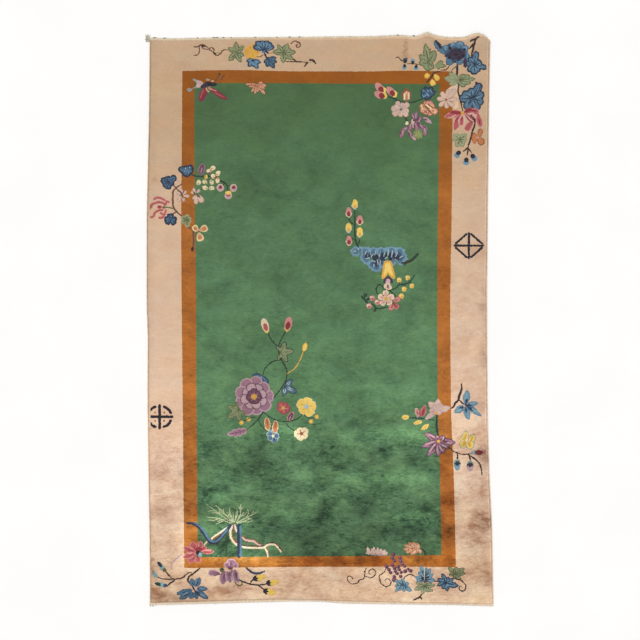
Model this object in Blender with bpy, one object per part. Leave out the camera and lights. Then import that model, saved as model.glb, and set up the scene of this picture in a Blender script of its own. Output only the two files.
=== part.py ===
"""Hand-knotted wool rug with a wide border, lying flat on its back.

Metres, +Z up. +Y runs along the warps to the end with the two low ripples,
+X across the rug. The origin is on the floor under the middle of the outline.

One flat body holds pile and foundation. The woven end webs and the overcast
side cords are worked on after it, so each of them is its own piece, a hair
(GAP) away from the body. The outline wanders as the weaving did: every edge
comes from a short table and one smooth curve through its rows.
"""

import math

import bmesh
import bpy
import numpy as np

MM = 0.001

# Driving sizes, in millimetres.
THICK = 13.0  # foundation and pile together
FOUNDATION = 3.2  # cotton warps and wefts alone
PILE_SLOPE = 3.0  # the shorn slope round the pile's top edge
WEB_THICK = 2.6  # flat-woven end web
CORD_WIDE = 5.4  # overcast side cord, across
CORD_HIGH = 7.0  # and upright
GAP = 0.3  # between neighbouring pieces
HALF_WIDE = 761.7  # the outline's box, from the middle
HALF_LONG = 1256.4

# Side edges: where the cord's outer side lies at each station along the rug.
SIDE_COLUMNS = ("along", "left", "right")
SIDES = [
    (1247.0, -744.2, 747.7),
    (920.0, -746.6, 742.0),
    (670.0, -752.1, 739.0),
    (434.0, -757.0, 736.3),
    (76.0, -757.3, 733.6),
    (-99.0, -752.6, 734.0),
    (-352.0, -753.8, 735.9),
    (-600.0, -751.2, 741.8),
    (-706.0, -749.4, 745.5),
    (-933.0, -745.5, 755.6),
    (-1252.0, -742.9, 761.7),
]

# Far end (+Y): the web's outer edge and the pile's edge at each station across.
FAR_COLUMNS = ("across", "web_edge", "pile_edge")
FAR_END = [
    (-761.7, 1234.5, 1223.0),
    (-744.0, 1235.0, 1222.0),
    (-653.0, 1232.6, 1219.6),
    (-479.0, 1235.4, 1222.6),
    (-326.0, 1237.0, 1227.0),
    (-172.0, 1237.8, 1227.8),
    (11.0, 1240.4, 1229.0),
    (221.0, 1242.0, 1231.4),
    (347.0, 1246.2, 1235.0),
    (417.0, 1243.6, 1230.2),
    (446.0, 1249.6, 1236.4),
    (470.0, 1256.4, 1243.3),
    (494.0, 1250.2, 1238.2),
    (518.0, 1245.0, 1233.0),
    (579.0, 1238.2, 1228.0),
    (627.0, 1238.4, 1227.4),
    (660.0, 1247.0, 1237.6),
    (684.0, 1252.0, 1243.2),
    (710.0, 1249.4, 1241.8),
    (729.0, 1240.6, 1235.4),
    (741.0, 1230.0, 1226.2),
    (748.0, 1218.0, 1215.0),
    (761.7, 1214.0, 1211.0),
]

# Near end (-Y).
NEAR_COLUMNS = ("across", "web_edge", "pile_edge")
NEAR_END = [
    (-761.7, -1253.6, -1239.4),
    (-742.0, -1252.4, -1239.0),
    (-522.0, -1246.4, -1233.2),
    (-304.0, -1240.2, -1227.2),
    (-160.0, -1236.4, -1224.0),
    (-42.0, -1235.0, -1225.6),
    (133.0, -1244.8, -1231.6),
    (360.0, -1248.0, -1236.4),
    (570.0, -1251.0, -1240.2),
    (761.7, -1256.4, -1243.0),
]

# Low ripples where the far end is slack: crest place across, half width,
# height over the floor at the edge, and how far in they run out.
RIPPLE_COLUMNS = ("across", "half_width", "rise", "reach")
RIPPLES = [
    (347.0, 46.0, 3.5, 150.0),
    (470.0, 27.0, 12.0, 190.0),
    (688.0, 34.0, 13.0, 170.0),
]


def column(table, names, name):
    return np.array([row[names.index(name)] for row in table], float)


def curve(xs, ys, at):
    """A smooth curve through the rows, with no overshoot between them."""
    order = np.argsort(xs)
    xs, ys = xs[order], ys[order]
    step = np.diff(xs)
    rise = np.diff(ys) / step
    slope = np.zeros(len(xs))
    slope[0], slope[-1] = rise[0], rise[-1]
    for i in range(1, len(xs) - 1):
        if rise[i - 1] * rise[i] > 0:
            a, b = 2 * step[i] + step[i - 1], step[i] + 2 * step[i - 1]
            slope[i] = (a + b) / (a / rise[i - 1] + b / rise[i])
    at = np.clip(np.asarray(at, float), xs[0], xs[-1])
    i = np.clip(np.searchsorted(xs, at) - 1, 0, len(xs) - 2)
    t = (at - xs[i]) / step[i]
    return (
        (2 * t**3 - 3 * t**2 + 1) * ys[i]
        + (t**3 - 2 * t**2 + t) * step[i] * slope[i]
        + (3 * t**2 - 2 * t**3) * ys[i + 1]
        + (t**3 - t**2) * step[i] * slope[i + 1]
    )


def side(which, along):
    return float(
        curve(
            column(SIDES, SIDE_COLUMNS, "along"),
            column(SIDES, SIDE_COLUMNS, which),
            along,
        )
    )


def far(which, across):
    return float(
        curve(
            column(FAR_END, FAR_COLUMNS, "across"),
            column(FAR_END, FAR_COLUMNS, which),
            across,
        )
    )


def near(which, across):
    return float(
        curve(
            column(NEAR_END, NEAR_COLUMNS, "across"),
            column(NEAR_END, NEAR_COLUMNS, which),
            across,
        )
    )


def lift(across, along):
    """How far the rug stands off the floor, in millimetres."""
    inwards = far("web_edge", across) - along
    high = 0.0
    for place, half, rise, reach in RIPPLES:
        fade = min(max(1.0 - inwards / reach, 0.0), 1.0)
        fade = fade * fade * (3 - 2 * fade)
        high += rise * math.exp(-(((across - place) / half) ** 2)) * fade
    return high if high > 0.04 else 0.0


def new_piece(name, verts, faces, material):
    mesh = bpy.data.meshes.new(name)
    mesh.from_pydata([(x * MM, y * MM, z * MM) for x, y, z in verts], [], faces)
    bm = bmesh.new()
    bm.from_mesh(mesh)
    bmesh.ops.recalc_face_normals(bm, faces=bm.faces)
    bm.to_mesh(mesh)
    bm.free()
    mesh.shade_smooth()
    mesh.set_sharp_from_angle(angle=math.radians(40))
    mesh.materials.append(material)
    piece = bpy.data.objects.new(name, mesh)
    bpy.context.scene.collection.objects.link(piece)
    return piece


def paint(name, colour, roughness):
    mat = bpy.data.materials.new(name)
    mat.use_nodes = True
    shader = mat.node_tree.nodes["Principled BSDF"]
    shader.inputs["Base Color"].default_value = (*colour, 1.0)
    shader.inputs["Roughness"].default_value = roughness
    shader.inputs["Metallic"].default_value = 0.0
    return mat


def loft(name, rings, material):
    """A closed piece through rings of equal point counts, capped at both ends."""
    count = len(rings[0])
    verts = [p for ring in rings for p in ring]
    faces = [tuple(range(count))]
    for k in range(len(rings) - 1):
        a, b = k * count, (k + 1) * count
        for j in range(count):
            n = (j + 1) % count
            faces.append((a + j, a + n, b + n, b + j))
    last = (len(rings) - 1) * count
    faces.append(tuple(last + j for j in reversed(range(count))))
    return new_piece(name, verts, faces, material)


def body_left(along):
    return side("left", along) + CORD_WIDE + GAP


def body_right(along):
    return side("right", along) - CORD_WIDE - GAP


def stations(start, stop, fine, coarse):
    """Stations from start to stop: near fine's ranges they are close together."""
    found, at = [start], start
    while at < stop - 1e-6:
        step = coarse
        for low, high, close in fine:
            if low - coarse < at < high:
                step = min(step, close if at >= low - 1e-6 else max(low - at, close))
        at = min(at + step, stop)
        if stop - at < 0.45 * step:
            at = stop
        found.append(at)
    return found


def fractions():
    """Where the body's grid lines stand, as parts of its width and length."""
    across = stations(
        -HALF_WIDE,
        HALF_WIDE,
        [
            (-761.7, -735.0, 18.0),
            (290.0, 410.0, 28.0),
            (410.0, 530.0, 12.0),
            (615.0, 761.7, 12.0),
        ],
        112.0,
    )
    along = stations(-HALF_LONG, HALF_LONG, [(1040.0, 1256.4, 30.0)], 176.0)
    return (
        [0.5 + x / (2 * HALF_WIDE) for x in across],
        [0.5 + y / (2 * HALF_LONG) for y in along],
    )


def place(u, v, inset):
    """The point at these fractions between the body's four wandering edges."""
    y = (2 * v - 1) * HALF_LONG
    for _ in range(6):  # the sides depend on y and the ends on x
        left, right = body_left(y) + inset, body_right(y) - inset
        x = left + u * (right - left)
        low, high = near("pile_edge", x) + inset, far("pile_edge", x) - inset
        y = low + v * (high - low)
    return x, y


def rug_body(material):
    """Pile and foundation: a flat slab with a shorn slope round its top."""
    across, along = fractions()
    verts, faces = [], []
    ids = {}

    def vert(key, x, y, z):
        if key not in ids:
            ids[key] = len(verts)
            verts.append((x, y, z + lift(x, y)))
        return ids[key]

    nu, nv = len(across), len(along)

    def rim(i, j):
        return i in (0, nu - 1) or j in (0, nv - 1)

    def corner(layer, i, j):
        u, v = across[i], along[j]
        if layer == "under":
            return vert(("under", i, j), *place(u, v, 0.0), 0.0)
        if layer == "shoulder":
            return vert(("shoulder", i, j), *place(u, v, 0.0), THICK - PILE_SLOPE)
        inset = PILE_SLOPE if rim(i, j) else 0.0
        x, y = place(u, v, PILE_SLOPE) if inset else place(u, v, 0.0)
        return vert(("top", i, j), x, y, THICK)

    for i in range(nu - 1):
        for j in range(nv - 1):
            ring = [(i, j), (i + 1, j), (i + 1, j + 1), (i, j + 1)]
            faces.append([corner("top", *c) for c in ring])
            faces.append([corner("under", *c) for c in reversed(ring)])
    edge = (
        [(i, 0) for i in range(nu)]
        + [(nu - 1, j) for j in range(1, nv)]
        + [(i, nv - 1) for i in range(nu - 2, -1, -1)]
        + [(0, j) for j in range(nv - 2, 0, -1)]
    )
    for a, b in zip(edge, edge[1:] + edge[:1]):
        faces.append([corner("under", *a), corner("under", *b), corner("shoulder", *b), corner("shoulder", *a)])
        faces.append([corner("shoulder", *a), corner("shoulder", *b), corner("top", *b), corner("top", *a)])
    return new_piece("rug_body", verts, faces, material)


def end_web(name, edge_of, sign, start, stop, tail, material):
    """The flat-woven web past the pile. tail tapers its last stretch at start."""
    rings = []
    # The same stations as the body's end, so that the two edges run side by side.
    spots = [place(u, 1.0 if sign > 0 else 0.0, 0.0)[0] for u in fractions()[0]]
    spots = (
        [x for x in (start, start + tail / 2, start + tail) if x < spots[0] - 2.0]
        + [x for x in spots if x < stop - 2.0]
        + [stop]
    )
    for x in spots:
        outer = edge_of("web_edge", x)
        inner = edge_of("pile_edge", x) + sign * GAP
        # Never thinner than a few warps, and drawn together along the tail.
        outer = sign * max(sign * outer, sign * inner + 3.0)
        if tail and x < start + tail:
            part = (x - start) / tail
            middle = (outer + inner) / 2
            outer = middle + (outer - middle) * (0.35 + 0.65 * part)
            inner = middle + (inner - middle) * (0.35 + 0.65 * part)
        high_in, high_out = lift(x, inner), lift(x, outer)
        crown = 0.5
        rings.append(
            [
                (x, inner, high_in),
                (x, outer, high_out),
                (x, outer, high_out + WEB_THICK - crown),
                (x, (inner + outer) / 2, (high_in + high_out) / 2 + WEB_THICK),
                (x, inner, high_in + WEB_THICK - crown),
            ]
        )
    return loft(name, rings, material)


def side_cord(name, which, sign, material):
    """The overcast edge: wool wound over the outermost warps."""
    rings = []
    for v in fractions()[1]:
        y = place(0.0 if sign < 0 else 1.0, v, 0.0)[1]
        mid = side(which, y) - sign * CORD_WIDE / 2
        up = lift(mid, y)
        ring = []
        for k in range(8):
            turn = 2 * math.pi * (k + 0.5) / 8
            flat = 1 / math.cos(math.pi / 8)
            ring.append(
                (
                    mid + CORD_WIDE / 2 * flat * math.cos(turn),
                    y,
                    up + CORD_HIGH / 2 * (1 + flat * math.sin(turn)),
                )
            )
        rings.append(ring)
    return loft(name, rings, material)


def build():
    for old in list(bpy.data.objects):
        bpy.data.objects.remove(old)

    wool = paint("wool_pile", (0.10, 0.19, 0.10), 0.85)
    cotton = paint("cotton_web", (0.72, 0.62, 0.48), 0.9)
    overcast = paint("wool_overcast", (0.66, 0.50, 0.36), 0.9)

    rug_body(wool)
    end_web("end_web_far", far, 1, -HALF_WIDE, 737.0, 26.0, cotton)
    end_web("end_web_near", near, -1, -746.0, HALF_WIDE, 0.0, cotton)
    side_cord("side_cord_left", "left", -1, overcast)
    side_cord("side_cord_right", "right", 1, overcast)


build()
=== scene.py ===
"""The looks of a hand-knotted wool rug, laid flat and seen from straight above.

The pattern is drawn as a weaver's chart: every motif is a function, placed by
chart squares (columns from the left, rows from the far end). The outlines are
cut into one triangulated pile surface, so each yarn colour ends on real edges
and the carver's furrows between them are real geometry too.
"""

import math

import bpy
import numpy as np
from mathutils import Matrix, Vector
from mathutils.geometry import delaunay_2d_cdt


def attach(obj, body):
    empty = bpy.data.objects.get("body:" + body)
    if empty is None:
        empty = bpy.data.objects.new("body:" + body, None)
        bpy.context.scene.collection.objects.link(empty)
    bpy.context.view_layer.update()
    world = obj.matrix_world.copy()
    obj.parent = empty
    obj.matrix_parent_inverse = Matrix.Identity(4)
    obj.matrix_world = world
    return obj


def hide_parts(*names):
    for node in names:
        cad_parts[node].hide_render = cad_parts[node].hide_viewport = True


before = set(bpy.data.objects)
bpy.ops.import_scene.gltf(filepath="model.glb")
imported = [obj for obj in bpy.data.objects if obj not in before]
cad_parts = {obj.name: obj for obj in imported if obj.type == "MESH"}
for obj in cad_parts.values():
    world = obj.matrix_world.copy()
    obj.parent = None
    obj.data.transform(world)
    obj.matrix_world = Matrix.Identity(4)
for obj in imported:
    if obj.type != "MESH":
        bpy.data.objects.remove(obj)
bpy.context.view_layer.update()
rng = np.random.default_rng(1930)

# ---------------------------------------------------------------- the rug's sizes
MM = 0.001
THICK = 13.0
FOUNDATION = 3.2
WEB_THICK = 2.6
CORD_WIDE = 5.4
CORD_HIGH = 7.0
GAP = 0.3
HALF_WIDE = 761.7
HALF_LONG = 1256.4

SQUARE = 4.37  # one chart square, in millimetres
CHART_X = 319.5  # the chart column and row under the origin
CHART_Y = 319.4

SIDE_COLUMNS = ("along", "left", "right")
SIDES = [
    (1247.0, -744.2, 747.7),
    (920.0, -746.6, 742.0),
    (670.0, -752.1, 739.0),
    (434.0, -757.0, 736.3),
    (76.0, -757.3, 733.6),
    (-99.0, -752.6, 734.0),
    (-352.0, -753.8, 735.9),
    (-600.0, -751.2, 741.8),
    (-706.0, -749.4, 745.5),
    (-933.0, -745.5, 755.6),
    (-1252.0, -742.9, 761.7),
]

FAR_COLUMNS = ("across", "web_edge", "pile_edge")
FAR_END = [
    (-761.7, 1234.5, 1223.0),
    (-744.0, 1235.0, 1222.0),
    (-653.0, 1232.6, 1219.6),
    (-479.0, 1235.4, 1222.6),
    (-326.0, 1237.0, 1227.0),
    (-172.0, 1237.8, 1227.8),
    (11.0, 1240.4, 1229.0),
    (221.0, 1242.0, 1231.4),
    (347.0, 1246.2, 1235.0),
    (417.0, 1243.6, 1230.2),
    (446.0, 1249.6, 1236.4),
    (470.0, 1256.4, 1243.3),
    (494.0, 1250.2, 1238.2),
    (518.0, 1245.0, 1233.0),
    (579.0, 1238.2, 1228.0),
    (627.0, 1238.4, 1227.4),
    (660.0, 1247.0, 1237.6),
    (684.0, 1252.0, 1243.2),
    (710.0, 1249.4, 1241.8),
    (729.0, 1240.6, 1235.4),
    (741.0, 1230.0, 1226.2),
    (748.0, 1218.0, 1215.0),
    (761.7, 1214.0, 1211.0),
]

NEAR_COLUMNS = ("across", "web_edge", "pile_edge")
NEAR_END = [
    (-761.7, -1253.6, -1239.4),
    (-742.0, -1252.4, -1239.0),
    (-522.0, -1246.4, -1233.2),
    (-304.0, -1240.2, -1227.2),
    (-160.0, -1236.4, -1224.0),
    (-42.0, -1235.0, -1225.6),
    (133.0, -1244.8, -1231.6),
    (360.0, -1248.0, -1236.4),
    (570.0, -1251.0, -1240.2),
    (761.7, -1256.4, -1243.0),
]

RIPPLE_COLUMNS = ("across", "half_width", "rise", "reach")
RIPPLES = [
    (347.0, 46.0, 3.5, 150.0),
    (470.0, 27.0, 12.0, 190.0),
    (688.0, 34.0, 13.0, 170.0),
]


def column(table, names, name):
    return np.array([row[names.index(name)] for row in table], float)


def curve(xs, ys, at):
    """A smooth curve through the rows, with no overshoot between them."""
    order = np.argsort(xs)
    xs, ys = xs[order], ys[order]
    step = np.diff(xs)
    rise = np.diff(ys) / step
    slope = np.zeros(len(xs))
    slope[0], slope[-1] = rise[0], rise[-1]
    for i in range(1, len(xs) - 1):
        if rise[i - 1] * rise[i] > 0:
            a, b = 2 * step[i] + step[i - 1], step[i] + 2 * step[i - 1]
            slope[i] = (a + b) / (a / rise[i - 1] + b / rise[i])
    at = np.clip(np.asarray(at, float), xs[0], xs[-1])
    i = np.clip(np.searchsorted(xs, at) - 1, 0, len(xs) - 2)
    t = (at - xs[i]) / step[i]
    return (
        (2 * t**3 - 3 * t**2 + 1) * ys[i]
        + (t**3 - 2 * t**2 + t) * step[i] * slope[i]
        + (3 * t**2 - 2 * t**3) * ys[i + 1]
        + (t**3 - t**2) * step[i] * slope[i + 1]
    )


def side(which, along):
    return curve(
        column(SIDES, SIDE_COLUMNS, "along"), column(SIDES, SIDE_COLUMNS, which), along
    )


def far(which, across):
    return curve(
        column(FAR_END, FAR_COLUMNS, "across"),
        column(FAR_END, FAR_COLUMNS, which),
        across,
    )


def near(which, across):
    return curve(
        column(NEAR_END, NEAR_COLUMNS, "across"),
        column(NEAR_END, NEAR_COLUMNS, which),
        across,
    )


def lift(across, along):
    """How far the rug stands off the floor, in millimetres."""
    across, along = np.asarray(across, float), np.asarray(along, float)
    inwards = far("web_edge", across) - along
    high = np.zeros(np.broadcast(across, along).shape)
    for place, half, rise, reach in RIPPLES:
        fade = np.clip(1.0 - inwards / reach, 0.0, 1.0)
        fade = fade * fade * (3 - 2 * fade)
        high = high + rise * np.exp(-(((across - place) / half) ** 2)) * fade
    return np.where(high > 0.04, high, 0.0)


# ---------------------------------------------------------------- yarns, as seen
YARNS = {
    "tan": (222, 189, 161),
    "amber": (171, 104, 46),
    "green": (87, 123, 86),
    "navy": (50, 57, 76),
    "ink": (44, 41, 50),
    "indigo": (64, 86, 108),
    "blue": (86, 116, 138),
    "sky": (114, 149, 167),
    "ice": (170, 185, 190),
    "aqua": (138, 170, 172),
    "plum": (66, 54, 70),
    "purple": (110, 72, 88),
    "mauve": (150, 112, 128),
    "lilac": (186, 154, 160),
    "dusk": (206, 178, 162),
    "clay": (170, 138, 120),
    "crimson": (138, 56, 62),
    "rose": (172, 88, 90),
    "pink": (202, 138, 132),
    "shell": (208, 176, 162),
    "salmon": (208, 154, 126),
    "orange": (190, 120, 78),
    "rust": (136, 84, 60),
    "gold": (212, 162, 74),
    "yellow": (230, 196, 100),
    "straw": (228, 206, 150),
    "flax": (174, 182, 144),
    "cream": (224, 208, 174),
    "sage": (134, 142, 106),
    "reed": (154, 158, 124),
    "moss": (96, 100, 68),
    "fir": (48, 66, 54),
    "lime": (136, 150, 82),
    "bark": (62, 48, 46),
    "brown": (108, 76, 62),
    "grey": (152, 152, 142),
}


BRIGHT = 1.09  # how much brighter a white cloth would be than paper white


def linear(rgb):
    """The wool's own colour, from how it looks on a screen, 0 to 255."""
    c = np.asarray(rgb, float) / 255.0
    return np.where(c <= 0.04045, c / 12.92, ((c + 0.055) / 1.055) ** 2.4) / BRIGHT


# ---------------------------------------------------------------- drawing the chart
DRAWN = []  # (closed outline in chart squares, yarn, depth of the furrow round it)


def resample(points, step, closed):
    p = np.asarray(points, float)
    if closed:
        p = np.vstack([p, p[:1]])
    seg = np.hypot(*np.diff(p, axis=0).T)
    p = p[np.r_[True, seg > 1e-9]]
    seg = seg[seg > 1e-9]
    s = np.r_[0.0, np.cumsum(seg)]
    n = max(int(round(s[-1] / step)), 4 if closed else 2)
    at = np.linspace(0, s[-1], n + 1)
    q = np.stack([np.interp(at, s, p[:, k]) for k in (0, 1)], 1)
    return q[:-1] if closed else q


def flowing(points, closed=False, per=8):
    """A smooth line through a few points."""
    p = np.asarray(points, float)
    if closed:
        a, b, c, d = np.roll(p, 1, 0), p, np.roll(p, -1, 0), np.roll(p, -2, 0)
    else:
        full = np.vstack([2 * p[0] - p[1], p, 2 * p[-1] - p[-2]])
        a, b, c, d = full[:-3], full[1:-2], full[2:-1], full[3:]
    t = (np.arange(per) / per)[None, :, None]
    a, b, c, d = (q[:, None, :] for q in (a, b, c, d))
    q = 0.5 * (
        2 * b + (c - a) * t + (2 * a - 5 * b + 4 * c - d) * t**2 + (3 * b - a - 3 * c + d) * t**3
    )
    q = q.reshape(-1, 2)
    return q if closed else np.vstack([q, p[-1:]])


def put(points, yarn, furrow=0.5, ragged=0.2):
    """Draws a closed outline. Knots leave its line a little ragged."""
    p = np.asarray(points, float)
    around = np.hypot(*np.diff(np.vstack([p, p[:1]]), axis=0).T).sum()
    p = resample(p, min(0.74, max(around / 15.0, 0.36)), True)
    DRAWN.append((p + rng.normal(0, ragged, p.shape), yarn, furrow))


def spot(x, y, turn, forward, sideways=0.0):
    """Chart places ahead of x, y. turn is a compass turn: 0 far, 90 right."""
    t = math.radians(turn)
    forward, sideways = np.asarray(forward, float), np.asarray(sideways, float)
    return np.stack(
        [
            x + forward * math.sin(t) + sideways * math.cos(t),
            y - forward * math.cos(t) + sideways * math.sin(t),
        ],
        -1,
    )


def inset(points, by):
    p = np.asarray(points, float)
    d = np.roll(p, -1, 0) - np.roll(p, 1, 0)
    d /= np.maximum(np.hypot(*d.T), 1e-9)[:, None]
    area = 0.5 * np.sum(p[:, 0] * np.roll(p[:, 1], -1) - np.roll(p[:, 0], -1) * p[:, 1])
    inward = np.stack([-d[:, 1], d[:, 0]], 1) * (1 if area > 0 else -1)
    return p + inward * np.reshape(by, (-1, 1))


def stroke(points, wide, yarn, start=0.7, stop=0.7, soft=True, furrow=0.3):
    line = flowing(points) if soft and len(points) > 2 else np.asarray(points, float)
    line = resample(line, 0.55, False)
    d = np.gradient(line, axis=0)
    d /= np.maximum(np.hypot(*d.T), 1e-9)[:, None]
    n = np.stack([-d[:, 1], d[:, 0]], 1)
    part = np.linspace(0, 1, len(line))
    half = wide / 2 * np.interp(part, [0, 0.3, 0.7, 1], [start, 1, 1, stop])
    tip = line[-1] + d[-1] * half[-1] * 0.8
    tail = line[0] - d[0] * half[0] * 0.8
    put(
        np.vstack([line + n * half[:, None], tip, (line - n * half[:, None])[::-1], tail]),
        yarn,
        furrow,
    )


def disc(x, y, wide, high, yarn, turn=0.0, wave=0.0, bumps=5, furrow=0.4):
    a = np.linspace(0, 2 * np.pi, 22, endpoint=False)
    r = 1 + wave * np.cos(bumps * a)
    put(spot(x, y, turn, high / 2 * r * np.cos(a), wide / 2 * r * np.sin(a)), yarn, furrow)


def petal_shape(x, y, turn, long, wide, tip="round", bend=0.0, back=0.0):
    t = 0.5 - 0.5 * np.cos(np.linspace(0, np.pi, 15))
    a, b = {"round": (0.85, 0.42), "point": (0.8, 0.95), "oval": (0.6, 0.55), "leaf": (0.66, 0.74)}[tip]
    half = t**a * (1 - t) ** b
    half = wide / 2 * half / half.max()
    sway = bend * wide * t * t
    ahead = back + (long - back) * t
    return np.vstack(
        [
            spot(x, y, turn, ahead, half + sway),
            spot(x, y, turn, ahead[::-1], (sway - half)[::-1]),
        ]
    )


def petal(x, y, turn, long, wide, fill, edge=None, mark=None, tip="round", bend=0.0, rim=0.7, back=0.0):
    shape = petal_shape(x, y, turn, long, wide, tip, bend, back)
    if edge:
        put(shape, edge)
        shape = petal_shape(
            x, y, turn, long - rim, max(wide - 2 * rim, wide * 0.35), tip, bend, back + 0.35 * rim
        )
    put(shape, fill, 0.25 if edge else 0.5)
    if mark:
        stroke(
            [spot(x, y, turn, back + long * f, bend * wide * f * f) for f in (0.12, 0.42, 0.68)],
            min(0.8, wide * 0.22),
            mark,
            1.0,
            0.3,
            furrow=0.1,
        )


def rosette(x, y, size, count, fill, edge=None, mark=None, core=None, heart=None, turn=0.0, plump=1.0, tip="round", spread=360.0, core_size=0.34, vary=0.08, rim=0.7):
    """Petals round a centre, or over part of a turn for a flower seen side on."""
    full = spread >= 359.0
    step = spread / count if full else spread / max(count - 1, 1)
    first = turn if full else turn - spread / 2
    order = [*range(0, count, 2), *range(1, count, 2)]
    for k in order:
        long = size * (1 + vary * math.sin(2.4 * k + turn))
        wide = 2 * math.sin(math.radians(min(step, 90) / 2)) * long * 0.86 * plump
        petal(x, y, first + step * k, long, wide, fill, edge, mark, tip, rim=rim)
    if core:
        disc(x, y, 2 * size * core_size, 2 * size * core_size, core)
        if heart:
            disc(x, y, size * core_size, size * core_size, heart, furrow=0.1)


def lobed(x, y, turn, size, lobes, fill, line, vein=None, sinus=0.55, rim=0.75, soft=True, shine=None, blunt=0.0):
    """A leaf whose lobes fan out from its stalk. lobes: (turn, length) pairs.

    blunt goes from 0, pointed lobes, to 1, round ones.
    """
    pts = []
    out, wide = 0.8 + 0.14 * blunt, 0.24 + 0.08 * blunt
    for k, (angle, length) in enumerate(lobes):
        far_gap = abs(lobes[k + 1][0] - angle) if k + 1 < len(lobes) else abs(angle - lobes[k - 1][0])
        near_gap = abs(angle - lobes[k - 1][0]) if k else far_gap
        long = size * length
        if k == 0:
            pts.append(spot(x, y, turn + angle - near_gap * 0.5, long * 0.42))
        pts.append(spot(x, y, turn + angle - near_gap * wide, long * out))
        pts.append(spot(x, y, turn + angle, long))
        pts.append(spot(x, y, turn + angle + far_gap * wide, long * out))
        if k + 1 < len(lobes):
            short = size * min(length, lobes[k + 1][1])
            pts.append(spot(x, y, turn + angle + far_gap * 0.5, short * sinus))
        else:
            pts.append(spot(x, y, turn + angle + far_gap * 0.5, long * 0.42))
    if abs(lobes[-1][0] - lobes[0][0]) < 300:
        middle = (lobes[0][0] + lobes[-1][0]) / 2
        pts.append(spot(x, y, turn + middle + 180, size * 0.06))
    shape = flowing(pts, True, 5) if soft else resample(pts, 1.0, True)
    shape = resample(shape, 0.6, True)
    put(shape, line)
    put(inset(shape, rim), fill, 0.2)
    if shine:
        for angle, length in lobes:
            petal(x, y, turn + angle, size * length * 0.72, size * 0.2, shine, tip="point", back=size * 0.16)
    if vein:
        for angle, length in lobes:
            stroke(
                [spot(x, y, turn + angle, size * length * f) for f in (0.02, 0.78)],
                0.62,
                vein,
                1.0,
                0.5,
                furrow=0.1,
            )


def foliage(x, y, turn, lobes, fill, line, rim=1.0, shine=None, vein=None, tip="leaf", heart=0.24, teeth=0.0):
    """A leaf of lobes on one stalk with one dark edge: (turn, length, width) each.

    teeth says how far each lobe's two side points stand out, as a share of it.
    """
    parts = [(x, y, turn + lean, long, wide) for lean, long, wide in lobes]
    if teeth:
        for lean, long, wide in lobes:
            for hand in (-1, 1):
                at = spot(x, y, turn + lean, long * rng.uniform(0.3, 0.42))
                parts.append((at[0], at[1], turn + lean + hand * rng.uniform(34, 46), long * teeth, wide * 0.5))
    for px, py, heading, long, wide in parts:
        put(petal_shape(px, py, heading, long, wide, tip, back=-0.08 * long), line, ragged=0.24)
    for px, py, heading, long, wide in parts:
        inner = petal_shape(px, py, heading, max(long - 1.15 * rim, 0.5 * long), max(wide - 1.9 * rim, 0.36 * wide), tip)
        put(inner, fill, 0.2)
    middle = sum(long for _, long, _ in lobes) / len(lobes)
    disc(x, y, 2 * heart * middle, 2 * heart * middle, fill, furrow=0.1)
    for lean, long, wide in lobes:
        if shine:
            a, b = spot(x, y, turn + lean, long * 0.3, wide * 0.17), spot(x, y, turn + lean, long * 0.72, wide * 0.08)
            stroke([a, b], 1.0, shine, 0.8, 0.6, furrow=0.1)
        if vein:
            a, b = spot(x, y, turn + lean, long * 0.04, -wide * 0.06), spot(x, y, turn + lean, long * 0.66)
            stroke([a, b], 0.9, vein, 1.0, 0.5, furrow=0.1)


def strands_drawn(yarn, *lines, furrow=0.3):
    """Several even lines of one yarn: each (width, place, place, ...)."""
    for wide, *places in lines:
        stroke(places, wide, yarn, furrow=furrow)


VINE = ((-112, 0.62), (-58, 0.86), (0, 1.0), (58, 0.86), (112, 0.62))
BROAD = ((-70, 0.78), (0, 1.0), (70, 0.78))


def oak(x, y, turn, long, wide, bumps, fill, line, vein=None, shine=None, bend=0.0, rim=0.75):
    """A long leaf with a scalloped edge."""
    t = np.linspace(0, 1, 10 * bumps + 1)
    half = wide / 2 * np.sin(np.pi * np.clip(t, 0.02, 0.98) ** 0.82) ** 0.6
    half = half * (0.74 + 0.3 * np.abs(np.sin(np.pi * bumps * t)))
    sway = bend * long * t * t
    shape = np.vstack(
        [spot(x, y, turn, long * t, half + sway), spot(x, y, turn, long * t[::-1], (sway - half)[::-1])]
    )
    shape = resample(shape, 0.6, True)
    put(shape, line)
    put(inset(shape, rim), fill, 0.2)
    middle = [spot(x, y, turn, long * f, bend * long * f * f) for f in (0.0, 0.35, 0.62, 0.84)]
    if shine:
        for f in (0.24, 0.42, 0.6):
            for hand in (-1, 1):
                at = spot(x, y, turn, long * f, bend * long * f * f)
                petal(at[0], at[1], turn + hand * 48, wide * 0.36, wide * 0.13, shine, tip="oval", back=wide * 0.08)
    if vein:
        stroke(middle, 0.8, vein, 1.0, 0.5, furrow=0.1)
        for f in (0.3, 0.52):
            for hand in (-1, 1):
                at = spot(x, y, turn, long * f, bend * long * f * f)
                stroke([at, spot(at[0], at[1], turn + hand * 46, wide * 0.34)], 0.5, vein, 1.0, 0.5, furrow=0.1)


def curl(x, y, size, turns, hand, wide, yarn, stem):
    """A tendril wound in towards x, y, from the last place of its stem."""
    dx, dy = stem[-1][0] - x, stem[-1][1] - y
    turn = math.degrees(math.atan2(dx, -dy))
    t = np.linspace(0.06, 1, 26)
    r = size * (1 - 0.84 * t) ** 1.05
    a = np.radians(turn + hand * 360 * turns * t)
    line = np.stack([x + r * np.sin(a), y - r * np.cos(a)], 1)
    line = np.vstack([np.asarray(stem, float).reshape(-1, 2), line])
    stroke(line, wide, yarn, 0.8, 1.0)


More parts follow.
